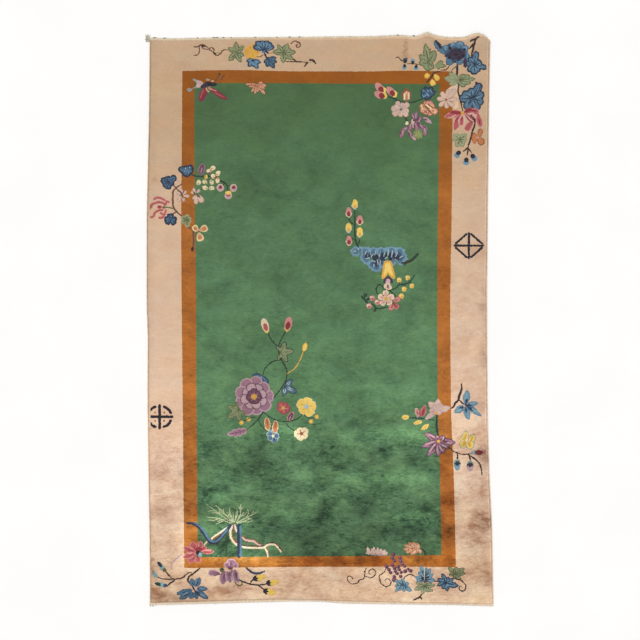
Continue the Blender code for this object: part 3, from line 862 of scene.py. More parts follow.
def field_right_group():
    strands_drawn(
        "fir",
        (1.6, (354.8, 209.0), (354.8, 222.0), (354.9, 233.0), (356.0, 242.0), (358.4, 247.0), (361.4, 251.4)),
        (1.3, (348.6, 218.6), (350.6, 222.0), (354.6, 225.0)),
        (1.3, (348.8, 234.6), (351.0, 237.6), (355.0, 240.0)),
        (1.3, (360.2, 226.6), (358.4, 230.4), (355.2, 233.4)),
        (1.3, (359.8, 238.6), (359.2, 242.0), (357.2, 245.4)),
    )
    for x, y, body, tip, heart in (
        (355.0, 209.8, "ice", "yellow", "gold"),
        (348.7, 217.6, "cream", "pink", "crimson"),
        (359.8, 225.6, "cream", "pink", "crimson"),
        (348.6, 233.2, "ice", "yellow", "gold"),
        (359.7, 237.6, "cream", "yellow", "gold"),
        (349.0, 246.0, "cream", "pink", "crimson"),
    ):
        petal(x, y, 0, 6.2, 6.6, body, tip="round")
        petal(x, y - 1.0, 0, 9.4, 5.8, tip, tip="oval")
        petal(x, y - 0.6, 0, 4.8 if heart == "gold" else 5.6, 2.6 if heart == "gold" else 3.4, heart, tip="oval")
        disc(x, y - 0.8, 1.8, 1.4, body, furrow=0.1)
    # A ruffled blue leaf with a small one at its stalk.
    ruffles = (
        (356.6, 250.6, -118, 6.0, 7.4), (357.6, 251.0, -58, 5.4, 6.6), (357.0, 251.6, 190, 4.4, 6.6), (359.4, 251.0, 40, 4.6, 6.0),
        (366.4, 256.4, -12, 9.8, 8.6), (373.8, 256.6, -2, 9.6, 8.4), (381.6, 257.4, -4, 10.6, 8.8), (390.8, 257.4, 6, 11.4, 9.4),
        (398.4, 256.6, 14, 9.6, 8.8), (399.8, 258.2, 66, 7.6, 8.2), (398.6, 259.6, 128, 6.4, 8.0), (391.6, 260.6, 176, 5.0, 8.6),
        (366.6, 257.4, -84, 6.2, 8.2), (367.6, 258.2, 214, 6.0, 8.2), (374.8, 262.4, 226, 7.8, 8.6), (376.8, 263.4, 186, 8.6, 8.8), (380.6, 261.6, 140, 6.6, 7.4),
    )
    for x, y, turn, long, wide in ruffles:
        put(petal_shape(*spot(x, y, turn, -2.0), turn, long + 1.6, wide), "sky")
        for lean in (-34, 0, 34):
            put(petal_shape(*spot(x, y, turn + lean * 0.6, long * 0.42), turn + lean, long * 0.5 + 1.2, wide * 0.42, "leaf"), "sky")
    for x, y, turn, long, wide in ruffles:
        put(petal_shape(*spot(x, y, turn, -2.4), turn, long + 0.6, wide - 3.0), "blue", 0.15)
    for x, y, turn, long, wide in ruffles:
        if long > 6.5:
            put(petal_shape(*spot(x, y, turn, -2.6), turn, 0.62 * long + 2.0, 0.56 * wide, "leaf"), "indigo", 0.15)
    for x, y, wide, high in ((368.0, 256.2, 6.0, 4.0), (375.4, 257.6, 6.4, 6.4), (382.8, 257.2, 6.0, 8.0), (390.0, 256.6, 4.0, 6.6), (396.6, 257.4, 7.0, 6.0), (377.2, 263.0, 5.4, 4.0)):
        disc(x, y, wide, high, "navy", wave=0.12, bumps=5, furrow=0.15)
    for line in (
        ((364.4, 255.0), (366.6, 250.6)), ((367.6, 256.4), (370.2, 252.2)), ((371.0, 257.4), (373.6, 253.2)), ((374.6, 255.4), (375.8, 250.6)),
        ((379.6, 257.0), (380.4, 250.4)), ((383.6, 256.4), (384.8, 252.4)), ((388.0, 255.4), (388.6, 249.6)), ((391.4, 257.0), (392.8, 250.2)),
        ((395.8, 256.8), (397.6, 251.4)), ((399.4, 258.0), (403.4, 255.4)), ((366.0, 258.6), (370.0, 257.8)), ((372.0, 260.4), (375.8, 262.0)),
        ((377.0, 259.6), (378.2, 264.8)), ((380.4, 260.4), (380.0, 265.6)), ((384.8, 258.6), (387.8, 257.0)), ((394.6, 259.4), (397.8, 260.4)),
        ((374.0, 264.0), (373.6, 267.0)), ((356.0, 250.6), (353.2, 252.2)), ((358.6, 250.0), (357.6, 247.6)),
    ):
        stroke(line, 0.95, "ice", 0.9, 0.6, furrow=0.1)
    for x, y, turn in ((369.0, 254.6, 20), (377.2, 256.0, -8), (386.4, 254.4, 4), (394.0, 255.0, 12), (376.2, 260.6, 160), (390.0, 259.4, 90)):
        petal(*spot(x, y, turn, -2.0), turn, 4.6, 1.5, "ink", tip="oval")
    # A yellow bell hanging from it.
    put(flowing([(384.2, 261.6), (388.0, 260.8), (391.6, 261.8), (393.6, 269.0), (395.2, 278.2), (391.0, 277.6), (388.0, 274.0), (385.2, 277.6), (381.6, 278.4), (382.8, 269.4)], True, 5), "gold", 0.4)
    put(flowing([(385.8, 263.2), (388.0, 262.4), (390.2, 263.4), (391.8, 269.6), (393.2, 275.6), (390.6, 275.0), (387.9, 271.6), (385.4, 275.0), (383.4, 275.8), (384.6, 269.2)], True, 5), "yellow", 0.15)
    for x, y in ((386.4, 266.0), (389.6, 267.4), (385.6, 270.6), (390.6, 271.8)):
        disc(x, y, 1.3, 2.0, "straw", furrow=0.05)
    petal(388.0, 277.0, 216, 7.4, 3.6, "plum", tip="oval", back=-1.0)
    petal(388.2, 277.0, 144, 7.4, 3.6, "plum", tip="oval", back=-1.0)
    disc(388.0, 281.6, 5.0, 5.8, "lilac")
    petal(387.7, 282.0, 180, 8.4, 8.0, "shell", "cream", None, tip="round", rim=0.9)
    stroke([(387.8, 284.6), (387.9, 288.4)], 1.4, "bark", furrow=0.1)
    strands_drawn("fir", (2.6, (401.8, 263.0), (405.2, 262.6), (410.0, 261.0), (414.0, 258.0), (418.4, 253.8)), (1.5, (404.8, 262.4), (404.8, 265.4)))
    strands_drawn("bark", (1.3, (402.8, 263.6), (408.0, 262.6), (412.6, 260.0)), furrow=0.1)
    # Curls, yellow buds and blossoms below.
    strands_drawn(
        "fir",
        (1.5, (391.6, 289.8), (387.4, 290.4), (383.6, 288.0), (380.8, 284.8), (377.6, 285.6), (376.2, 289.0), (376.8, 292.8), (379.6, 295.2)),
        (1.6, (390.8, 290.2), (395.4, 288.4), (399.0, 285.2), (404.0, 284.2), (408.2, 283.0), (411.4, 279.8), (414.6, 275.2)),
        (1.6, (389.8, 290.8), (393.0, 294.0), (396.4, 297.6)),
        (1.1, (399.4, 284.6), (399.4, 281.8)),
        (1.1, (409.4, 282.4), (408.4, 279.4)),
        (1.1, (404.6, 284.4), (404.3, 287.4)),
        (1.1, (410.2, 281.4), (411.4, 284.4)),
        (1.6, (364.0, 293.0), (365.0, 300.0), (368.0, 303.0), (373.0, 304.5), (376.0, 308.0), (380.0, 308.6), (388.0, 307.0)),
    )
    for x, y, turn in ((364.6, 297.4, 34), (365.6, 300.8, 58), (364.4, 299.6, -40), (376.4, 307.6, -150)):
        petal(x, y, turn, 5.2, 2.6, "fir", tip="point")
    for x, y in ((399.2, 280.0), (407.6, 277.6), (411.8, 285.8), (404.2, 289.0), (401.4, 296.0)):
        disc(x, y, 4.8, 5.0, "yellow", wave=0.06)
        disc(x + 0.4, y + 0.7, 2.4, 2.2, "gold", furrow=0.1)
        disc(x - 1.0, y - 0.6, 1.4, 2.2, "straw", furrow=0.05)
    for x, y, turn, long, wide in ((385.8, 298.2, 0, 8.4, 6.8), (385.4, 298.4, -72, 8.2, 6.8), (386.6, 298.4, 72, 8.4, 6.6), (385.4, 298.8, 214, 8.2, 6.8), (386.4, 298.8, 142, 8.0, 6.6)):
        petal(x, y, turn, long - 0.6, wide - 0.8, "shell", "cream", None, rim=0.8)
        stroke([spot(x, y, turn, 2.4), spot(x, y, turn, 5.0)], 1.2, "pink", furrow=0.1)
        stroke([spot(x, y, turn + 36, 2.6), spot(x, y, turn + 36, 5.4)], 0.8, "brown", furrow=0.1)
    disc(386.0, 298.6, 3.8, 3.6, "gold")
    petal(392.8, 301.6, 66, 8.4, 5.6, "pink", "rose", "crimson", rim=0.6)
    petal(393.2, 303.2, 138, 7.2, 5.6, "rose", "pink", "crimson", rim=0.6)
    petal(393.6, 304.4, 214, 7.0, 5.4, "pink", "rose", "crimson", rim=0.6)
    disc(393.4, 303.4, 2.4, 2.2, "crimson", furrow=0.1)
    for x, y in ((372.3, 298.0), (377.3, 302.0), (369.0, 306.0)):
        disc(x, y, 5.6, 5.4, "pink")
        disc(x - 0.7, y - 0.7, 3.0, 2.4, "cream", furrow=0.1)
        petal(x + 1.2, y + 1.8, -45, 2.8, 1.7, "rose", tip="oval")


def right_spray():
    strands_drawn("bark", (2.3, (461.6, 383.8), (461.4, 390.0), (459.2, 396.0), (458.4, 400.0), (455.0, 403.4), (453.8, 406.6), (451.0, 408.4)), (1.3, (458.8, 399.4), (461.8, 402.6), (464.6, 405.0)))
    for turn, long, wide, tint in ((8, 15.4, 7.2, "sky"), (80, 13.0, 5.8, "sky"), (118, 14.4, 5.0, "blue"), (124, 19.8, 4.6, "sky"), (168, 14.8, 6.6, "sky"), (236, 13.2, 7.0, "sky")):
        petal(*spot(465.4, 405.4, turn, 1.0), turn, long - 1.0, wide, tint, "blue", None, tip="leaf", rim=0.5)
    for turn, long in ((12, 15.0), (80, 12.4), (122, 19.0), (168, 14.2), (236, 12.6)):
        petal(*spot(465.4, 405.4, turn + 8, 2.4), turn - 4, long * 0.42, 3.0, "indigo", tip="leaf")
        stroke([spot(465.4, 405.4, turn - 6, long * 0.42), spot(465.4, 405.4, turn - 3, long * 0.86)], 1.7, "aqua", furrow=0.1)
        stroke([spot(465.4, 405.4, turn, 0.4), spot(465.4, 405.4, turn + 4, long * 0.46)], 1.4, "navy", furrow=0.1)
    strands_drawn("sky", (1.2, (467.4, 399.0), (468.6, 394.2)), (1.1, (472.0, 404.0), (476.0, 404.2)), (1.1, (473.0, 410.6), (478.0, 413.8)), (1.1, (467.0, 411.0), (468.4, 416.4)), furrow=0.1)
    strands_drawn("shell", (0.9, (463.0, 405.4), (466.8, 407.2)), furrow=0.1)
    strands_drawn(
        "fir",
        (2.0, (437.2, 415.0), (436.5, 425.0), (437.4, 432.0), (439.0, 439.0)),
        (1.5, (408.6, 418.0), (416.0, 418.0), (425.0, 418.8), (435.0, 420.6)),
    )
    for turn, long, wide in ((4, 11.4, 7.4), (-46, 12.4, 7.2), (78, 13.4, 6.8), (-92, 8.4, 6.0), (234, 15.6, 5.6), (140, 5.4, 6.0), (36, 8.4, 6.4), (-20, 8.8, 6.4)):
        petal(437.4, 410.4, turn, long, wide, "dusk", "lilac", None, tip="leaf", rim=0.6)
    for turn in (-68, -22, 40, 100, 226):
        stroke([spot(437.4, 410.4, turn, 2.0), spot(437.4, 410.4, turn, 7.0)], 1.0, "lilac", furrow=0.1)
    disc(436.6, 413.4, 4.0, 3.0, "gold")
    disc(432.8, 411.6, 2.8, 2.4, "pink", furrow=0.1)
    for x, y, turn, long, wide, tint, edge in ((418.6, 416.4, -18, 9.0, 4.6, "pink", "shell"), (420.8, 416.6, -4, 7.4, 4.4, "rose", "pink"), (422.2, 416.8, 14, 12.2, 5.4, "rose", "pink")):
        petal(x, y, turn, long, wide, tint, edge, "crimson", tip="leaf", rim=0.7)
    stroke([(422.4, 414.0), (424.0, 409.6)], 1.8, "crimson", furrow=0.15)
    disc(417.6, 416.6, 2.4, 2.2, "lilac")
    for x, y, turn, long, wide in ((401.6, 417.7, 84, 7.8, 5.0), (413.6, 423.8, 74, 9.0, 4.3), (421.4, 429.8, 54, 9.4, 4.3)):
        petal(x, y, turn, long, wide, "yellow", "straw", "gold", tip="oval", rim=0.4)
    # The mauve star.
    for turn, long, wide in ((-58, 17.2, 7.0), (-106, 18.4, 7.0), (-141, 19.4, 7.4), (182, 15.2, 7.0), (156, 12.8, 6.4), (92, 16.8, 7.4), (120, 12.4, 6.0), (-24, 8.0, 5.6), (42, 9.0, 5.6)):
        petal(439.0, 441.8, turn, long, wide, "mauve", "plum", "purple", tip="leaf", rim=0.7)
        stroke([spot(439.0, 441.8, turn, 4.4, wide * 0.2), spot(439.0, 441.8, turn, long * 0.74, wide * 0.1)], 1.6, "lilac", furrow=0.1)
        stroke([spot(439.0, 441.8, turn, 2.0, -wide * 0.12), spot(439.0, 441.8, turn, long * 0.6, -wide * 0.08)], 1.2, "purple", furrow=0.1)
    disc(438.6, 441.3, 3.4, 3.0, "gold")
    # The yellow flower in its pale green rims.
    for x, y, turn, long, wide in ((463.2, 446.4, 12, 16.4, 7.6), (469.0, 445.0, 26, 12.6, 7.4), (465.8, 440.0, 206, 9.4, 9.0), (468.4, 440.6, 158, 9.4, 9.0), (463.4, 440.4, -58, 5.0, 4.6)):
        petal(x, y, turn, long, wide, "straw", "reed", None, tip="leaf", rim=0.7)
        petal(*spot(x, y, turn, 0.8), turn, long - 2.4, wide - 2.8, "yellow", None, None, tip="leaf")
    for x, y, turn, long, wide in ((464.0, 443.4, 12, 9.0, 1.8), (469.8, 442.6, 26, 7.0, 1.8), (465.4, 441.4, 206, 5.0, 2.2), (468.4, 442.0, 158, 5.2, 2.2)):
        petal(x, y, turn, long, wide, "gold", None, None, tip="oval")
    disc(466.6, 440.2, 2.6, 2.4, "cream", furrow=0.1)
    strands_drawn(
        "bark",
        (1.15, (446.6, 446.4), (450.4, 448.6), (455.0, 452.0), (461.0, 454.0), (468.0, 454.2), (475.0, 452.4), (480.4, 452.0)),
        (1.5, (468.6, 454.6), (474.0, 458.4), (478.4, 462.0), (480.8, 467.0), (482.0, 475.0)),
        (1.5, (457.0, 453.4), (457.6, 456.0), (457.4, 459.4)),
        (1.7, (468.8, 455.4), (470.0, 458.0), (470.3, 461.0)),
    )
    petal(478.6, 452.0, 92, 9.4, 3.8, "pink", tip="leaf")
    petal(470.8, 452.8, 88, 8.0, 4.8, "aqua", "sage", None, tip="oval", rim=0.5)
    petal(474.6, 452.4, 92, 8.4, 5.0, "crimson", tip="oval")
    for x, y, body, heart, tail in ((457.3, 459.0, "aqua", "navy", "sky"), (470.2, 460.2, "aqua", "plum", "lilac")):
        petal(x, y, 180, 10.2, 7.0, body, "sage", None, tip="oval", rim=0.6)
        petal(x, y + 4.4, 180, 7.4, 5.4, tail, tip="leaf")
        disc(x, y + 4.6, 6.0, 4.0, heart, wave=0.14, bumps=4)
        stroke([(x - 1.2, y + 1.6), (x - 1.4, y + 3.4)], 0.9, "moss", furrow=0.1)
        stroke([(x + 1.4, y + 1.4), (x + 1.5, y + 3.2)], 0.9, "moss", furrow=0.1)


def near_right_spray():
    # A pale tuft, open between its fine petals.
    for x, y, turn, long in ((369.0, 555.2, -10, 9.0), (371.6, 555.4, 4, 7.0), (374.4, 555.4, -4, 8.8), (377.0, 555.4, 6, 8.0), (379.6, 555.4, 12, 7.4), (382.2, 555.2, 30, 6.4), (384.0, 555.0, 52, 4.8)):
        petal(x, y, turn, long, 3.8, "shell", "dusk", None, tip="point", rim=0.6)
    stroke([(366.0, 553.6), (370.4, 552.8), (374.6, 554.4)], 1.6, "shell")
    strands_drawn("lilac", (1.1, (370.6, 554.6), (379.0, 555.2), (384.6, 555.4)), (0.9, (374.4, 553.0), (374.6, 548.6)), furrow=0.1)
    # The salmon flower lying along the band's edge.
    for turn, long, wide in ((-104, 14.0, 4.2), (-90, 15.8, 4.0), (-74, 15.4, 4.2), (-58, 12.6, 4.2), (-40, 9.4, 4.0), (-12, 6.4, 4.0), (-124, 10.0, 4.4), (150, 5.0, 4.4)):
        petal(418.8, 549.2, turn, long, wide, "salmon", "orange", "cream", tip="leaf", rim=0.6)
    for x, y, size in ((412.0, 548.0, 1.5), (408.4, 549.8, 1.2), (414.8, 545.6, 1.2), (416.4, 550.8, 1.3), (410.6, 545.2, 1.1)):
        disc(x, y, size, size, "brown", furrow=0.1)
    stroke([(420.6, 548.6), (423.0, 550.0), (425.0, 552.0), (425.2, 555.4)], 1.7, "fir")
    # Purple berries in clusters.
    for x, y, size in (
        (393.5, 554.5, 4.2), (392.4, 558.0, 3.6), (394.4, 561.0, 3.4), (392.4, 565.0, 3.8), (400.0, 557.8, 3.8), (400.5, 561.0, 3.6),
        (402.6, 564.2, 3.6), (404.8, 566.2, 3.2), (386.4, 566.5, 4.0), (389.0, 569.6, 3.6), (390.6, 572.6, 3.4), (394.8, 568.4, 3.8),
        (395.4, 571.4, 3.4), (397.2, 573.4, 3.4), (394.4, 576.6, 3.4), (394.2, 580.0, 4.4), (398.4, 566.8, 3.6), (399.2, 569.6, 3.2),
        (401.2, 572.2, 3.4), (400.6, 576.4, 3.4), (405.2, 571.4, 3.8), (410.6, 570.8, 4.0), (408.2, 568.8, 2.6),
    ):
        disc(x, y, size * 1.12, size * 1.06, "purple", furrow=0.3)
        disc(x + 0.5, y + 0.4, size * 0.5, size * 0.44, "plum", furrow=0.05)
        disc(x - 0.5, y - 0.5, size * 0.36, size * 0.3, "rose" if size > 3.7 else "mauve", furrow=0.05)
    # Tendrils.
    strands_drawn(
        "bark",
        (1.15, (367.0, 567.4), (365.4, 569.6), (364.8, 574.0), (364.4, 577.4), (362.0, 579.6), (359.4, 580.0), (358.0, 582.4), (355.0, 583.6), (351.8, 584.0), (348.4, 581.4), (347.2, 578.2), (349.2, 576.0), (351.6, 577.2), (353.0, 579.6)),
        (1.1, (364.6, 576.0), (368.0, 577.0), (371.0, 577.8), (374.0, 576.2), (375.8, 573.0), (375.0, 570.4), (372.0, 569.2), (369.4, 570.6), (368.8, 573.0), (370.4, 574.6)),
        (1.15, (386.5, 567.4), (385.0, 570.6), (383.4, 573.0), (380.8, 574.6), (379.0, 576.2), (379.8, 579.2), (380.4, 582.0), (382.2, 584.6), (386.0, 586.8), (389.6, 585.4), (391.0, 582.4), (389.6, 579.8), (387.0, 578.8), (384.8, 580.0), (385.4, 581.6)),
        (1.1, (403.0, 580.0), (405.0, 576.8), (408.0, 575.0), (411.4, 574.6), (416.0, 577.2)),
        (1.35, (427.8, 583.2), (429.2, 581.2), (433.0, 580.9), (438.4, 581.6)),
        (1.15, (452.4, 578.4), (456.0, 579.0), (461.0, 580.0), (463.4, 582.4), (465.8, 585.2), (465.6, 588.6), (463.6, 591.0), (460.4, 590.6), (459.0, 588.0), (460.0, 586.0), (462.0, 587.2)),
        (1.7, (422.4, 593.6), (419.6, 597.0), (416.8, 598.6), (412.8, 600.6)),
        (1.5, (419.8, 596.4), (421.0, 598.0), (422.4, 599.2)),
    )
    # Leaves.
    foliage(402.6, 584.6, 0, ((4, 6.6, 4.8), (-62, 9.4, 4.8), (-102, 7.8, 4.4), (-134, 10.4, 4.8), (168, 7.6, 4.8), (126, 11.6, 5.0), (78, 6.8, 4.6)), "sky", "blue", rim=0.6, shine="aqua", vein="indigo", teeth=0.32)
    strands_drawn("indigo", (1.4, (405.6, 583.8), (405.4, 588.2)), (1.2, (402.8, 581.4), (403.0, 584.4)), furrow=0.1)
    for x, y in ((399.8, 587.6), (403.0, 588.8), (397.6, 584.8)):
        disc(x, y, 1.6, 1.5, "indigo", furrow=0.1)
    foliage(424.8, 579.6, 0, ((-16, 15.4, 5.0), (8, 12.8, 4.6), (28, 13.0, 4.8), (-42, 9.8, 4.6), (-76, 10.8, 5.0), (-104, 9.4, 4.4), (56, 10.4, 4.8), (94, 10.8, 5.0), (122, 8.4, 4.6)), "sky", "blue", rim=0.6, shine="aqua", vein="navy", heart=0.26, teeth=0.32)
    strands_drawn("indigo", (1.6, (423.0, 570.4), (423.2, 575.2)), (1.4, (426.2, 571.2), (426.0, 575.0)), furrow=0.1)
    strands_drawn("navy", (2.4, (421.4, 577.8), (423.6, 578.4)), (2.4, (426.4, 577.8), (428.8, 577.2)), furrow=0.1)
    stroke([(424.4, 568.6), (424.4, 579.4)], 0.9, "cream", furrow=0.1)
    foliage(424.6, 585.4, 0, ((-72, 9.4, 4.8), (-114, 11.4, 5.2), (-156, 7.2, 4.4), (194, 9.4, 4.8), (152, 8.0, 4.4), (128, 10.4, 4.8), (90, 10.6, 5.0), (54, 6.4, 4.2)), "reed", "moss", rim=0.55, vein="moss", heart=0.24, teeth=0.32)
    disc(425.0, 581.6, 3.2, 2.4, "purple")
    foliage(446.0, 583.4, 0, ((-20, 10.8, 5.4), (-62, 10.0, 5.4), (-100, 9.4, 5.0), (-146, 7.2, 5.0), (166, 8.4, 5.4), (102, 13.2, 6.2), (58, 9.4, 5.4), (20, 7.4, 5.0)), "blue", "navy", rim=1.15, shine="sky", vein="navy", heart=0.28, teeth=0.34)
    disc(447.4, 585.2, 3.0, 2.6, "sky", furrow=0.1)
    foliage(455.0, 574.0, 0, ((-44, 10.2, 4.8), (-96, 6.4, 4.2), (14, 7.6, 4.8), (58, 11.4, 5.2), (88, 11.0, 5.0), (132, 8.0, 4.6), (180, 4.4, 4.4)), "sage", "moss", rim=0.75, shine="reed", vein="moss", heart=0.22, teeth=0.32)
    stroke([(453.2, 570.4), (453.4, 578.2)], 1.6, "moss", furrow=0.1)


def near_left_spray():
    # Fine pale grass in a fan.
    strands_drawn(
        "flax",
        (0.8, (232.0, 523.0), (221.0, 515.0), (206.4, 504.4)), (0.85, (231.4, 523.6), (219.0, 518.6), (207.0, 517.2)), (0.8, (232.4, 522.6), (224.0, 513.0), (215.2, 505.2)),
        (0.85, (233.0, 522.6), (227.0, 516.4), (220.0, 511.2)), (0.85, (233.2, 522.4), (230.0, 517.0), (226.2, 511.8)), (0.85, (233.6, 522.4), (231.4, 516.0), (229.2, 510.8)),
        (0.85, (234.0, 522.2), (233.4, 517.0), (233.0, 512.8)), (0.85, (234.6, 522.4), (235.8, 517.0), (236.2, 511.8)), (1.2, (236.6, 522.6), (240.4, 514.0), (240.6, 504.2)),
        (0.85, (236.0, 522.6), (240.4, 516.6), (244.2, 512.0)), (0.8, (236.6, 523.0), (241.4, 520.2), (246.4, 517.8)), (0.85, (237.0, 523.6), (243.4, 521.4), (250.4, 518.6)),
        (0.8, (237.0, 523.0), (247.0, 517.6), (257.2, 512.0)), (0.8, (226.4, 518.6), (222.0, 519.8), (217.0, 521.6)), (0.8, (221.0, 515.0), (216.2, 512.8), (211.0, 513.0)),
        (0.8, (240.6, 510.0), (243.6, 507.0)), (0.8, (247.0, 517.6), (251.4, 519.2)), (0.8, (224.0, 513.0), (223.0, 508.4)),
        (0.8, (216.0, 511.6), (211.6, 510.6), (207.6, 511.6)), (0.8, (229.0, 515.0), (226.8, 517.4)), (0.8, (219.0, 518.6), (213.4, 520.4), (208.0, 520.0)),
        (0.8, (225.4, 520.2), (219.6, 522.4), (215.6, 524.6)), (0.8, (231.8, 517.4), (229.4, 513.6), (229.8, 507.6)), (0.8, (235.4, 519.0), (237.4, 514.2), (236.8, 508.0)),
        (0.8, (243.4, 521.4), (248.4, 522.0), (252.4, 520.4)), (0.8, (251.4, 515.4), (253.6, 510.8)), (0.8, (246.0, 518.0), (248.4, 513.4), (247.6, 509.6)),
        (0.8, (239.8, 516.0), (243.4, 515.4), (247.4, 511.8)), (0.8, (240.6, 509.4), (238.2, 506.4)), (0.8, (222.0, 516.0), (219.4, 513.0), (219.6, 509.0)),
        furrow=0.15,
    )
    # Pale branches behind the blue ones.
    strands_drawn(
        "rust",
        (3.2, (231.2, 526.0), (226.0, 529.6), (220.0, 533.6), (214.0, 537.6), (211.2, 540.4)),
        (3.6, (242.4, 536.6), (245.2, 539.6), (250.0, 540.8), (254.4, 541.2), (257.2, 543.6), (261.6, 545.4)),
        (2.8, (234.6, 525.0), (235.2, 529.2), (237.0, 532.6)),
        (2.8, (265.6, 547.6), (267.4, 551.6), (268.4, 557.2)),
    )
    strands_drawn(
        "cream",
        (1.9, (231.0, 525.2), (226.0, 528.6), (220.0, 532.6), (214.0, 536.6), (211.0, 539.2)),
        (1.5, (207.0, 541.6), (205.6, 543.2), (204.0, 545.0)),
        (1.7, (234.8, 525.0), (235.6, 529.0), (237.2, 532.2)),
        (1.7, (265.4, 548.4), (267.0, 552.0), (268.0, 557.0)),
        furrow=0.15,
    )
    strands_drawn("shell", (2.1, (242.4, 537.2), (245.0, 539.8), (250.0, 541.0), (254.2, 541.6), (257.0, 544.0), (261.0, 545.6)), furrow=0.15)
    # The cream branch with a dark upper edge.
    line = [(232.8, 525.0), (231.2, 529.2), (231.0, 535.0), (232.8, 539.8), (236.2, 543.4), (240.4, 545.4), (246.0, 547.0), (256.0, 547.2), (264.0, 547.0), (268.0, 544.4), (274.0, 543.8), (277.6, 546.2), (281.8, 551.4)]
    stroke(line, 3.6, "rust", 0.9, 0.6)
    stroke([(x, y - 0.9) for x, y in line[5:]], 1.3, "bark", 1.0, 0.8, furrow=0.1)
    stroke([(x - 0.5, y + 0.6) for x, y in line], 2.1, "cream", 1.0, 0.8, furrow=0.15)
    # Blue branch and trunk.
    line = [(186.8, 523.0), (193.0, 523.6), (197.4, 525.6), (203.0, 531.2), (207.0, 537.8), (210.0, 541.4), (214.0, 542.4), (218.0, 540.4), (222.0, 536.0), (227.0, 530.0), (230.6, 525.0)]
    stroke(line, 4.2, "navy", 0.5, 0.7)
    stroke([(x + 0.7, y - 0.7) for x, y in line[1:-1]], 2.1, "blue", 0.7, 0.8, furrow=0.15)
    stroke([(238.9, 524.8), (239.3, 540.0), (239.3, 556.6)], 4.4, "navy", 0.8, 1.0, soft=False)
    stroke([(240.5, 525.8), (240.8, 540.0), (240.7, 556.2)], 2.0, "blue", 0.9, 1.0, soft=False, furrow=0.15)
    strands_drawn("fir", (1.5, (227.0, 534.0), (226.6, 545.0), (226.5, 556.2)), (1.3, (226.2, 546.4), (220.6, 551.6), (215.4, 556.4)), (1.1, (221.0, 551.4), (220.4, 556.2)))
    # The rose at the band's corner.
    for x, y, turn, long, wide in (
        (197.4, 552.6, 18, 12.4, 9.6), (196.6, 552.6, -26, 12.0, 8.6), (196.2, 553.0, -66, 14.2, 8.4), (196.0, 554.0, -104, 14.0, 8.0),
        (196.8, 554.6, 226, 11.6, 8.4), (198.0, 554.8, 178, 8.2, 8.0), (201.2, 552.0, 88, 13.0, 6.6), (199.4, 551.6, 56, 8.8, 6.4),
    ):
        petal(*spot(x, y, turn, 0.6), turn, long - 0.8, wide * 0.78, "rose", "pink", "crimson", tip="leaf" if long > 12 else "round", rim=0.7)
    strands_drawn("pink", (1.4, (189.0, 547.0), (193.4, 549.4)), (1.3, (186.4, 553.4), (191.6, 553.2)), (1.3, (190.4, 559.2), (194.0, 556.6)), (1.4, (199.2, 543.6), (198.4, 547.6)), (1.2, (204.6, 550.6), (211.0, 550.8)), furrow=0.1)
    disc(198.6, 549.4, 6.6, 4.4, "crimson", wave=0.1)
    disc(198.0, 552.6, 4.8, 3.6, "ink", wave=0.1, bumps=3)
    petal(200.0, 552.4, 178, 4.8, 3.8, "aqua", tip="oval")
    disc(197.0, 555.4, 2.0, 1.8, "indigo", furrow=0.1)
    stroke([(182.2, 554.0), (176.0, 559.0), (171.6, 564.0), (171.8, 570.0)], 1.6, "lilac")
    # Mauve flowers over the near band.
    for x, y, turn, long, wide in (
        (230.4, 569.6, 6, 11.0, 9.4), (229.2, 568.6, -30, 7.4, 6.4), (220.4, 573.2, -88, 12.4, 6.8), (224.6, 570.4, 188, 14.8, 8.6),
        (227.2, 571.0, 164, 12.4, 7.0), (231.0, 569.8, 150, 15.4, 8.2), (235.0, 569.4, 176, 13.0, 6.8), (233.4, 566.6, 66, 5.4, 5.6),
    ):
        petal(x, y, turn, long, wide, "mauve", "lilac", "purple", tip="leaf" if turn > 90 else "round", rim=0.9)
    disc(230.4, 568.2, 5.2, 3.4, "purple")
    strands_drawn("purple", (1.2, (214.0, 575.8), (219.0, 574.4), (222.6, 573.4)), (1.3, (224.4, 573.6), (224.0, 580.4)), (1.2, (229.6, 571.6), (230.6, 579.0)), (1.4, (236.0, 572.4), (237.6, 580.4)), (1.1, (230.8, 565.0), (231.2, 561.0)), furrow=0.1)
    disc(221.8, 570.0, 5.0, 4.8, "moss", wave=0.1)
    disc(222.2, 569.4, 2.4, 2.0, "fir", furrow=0.1)
    strands_drawn("navy", (2.2, (246.4, 567.8), (249.0, 570.4), (253.0, 573.0), (258.0, 573.4), (264.8, 571.4)))
    stroke([(250.0, 570.6), (254.0, 572.6), (260.0, 572.6)], 1.0, "indigo", furrow=0.1)
    strands_drawn(
        "bark",
        (1.6, (238.6, 579.6), (245.0, 582.4), (252.0, 584.5), (260.0, 585.0), (267.6, 583.8)),
        (1.5, (250.4, 583.2), (252.6, 579.4)),
        (1.6, (258.8, 585.4), (262.0, 588.0), (265.2, 590.2)),
    )
    strands_drawn("moss", (1.3, (234.4, 581.6), (238.0, 585.4), (241.8, 584.8), (241.6, 581.8), (238.6, 581.4)))
    for x, y, turn in ((253.6, 579.4, 76), (266.8, 583.6, 80), (264.0, 590.8, 100)):
        petal(x, y, turn, 12.8, 6.4, "yellow", "gold", "gold", tip="leaf", rim=0.5)
        for hand in (-32, 0, 32):
            petal(x - 0.8, y, turn + hand, 5.6, 2.5, "ink", tip="point")
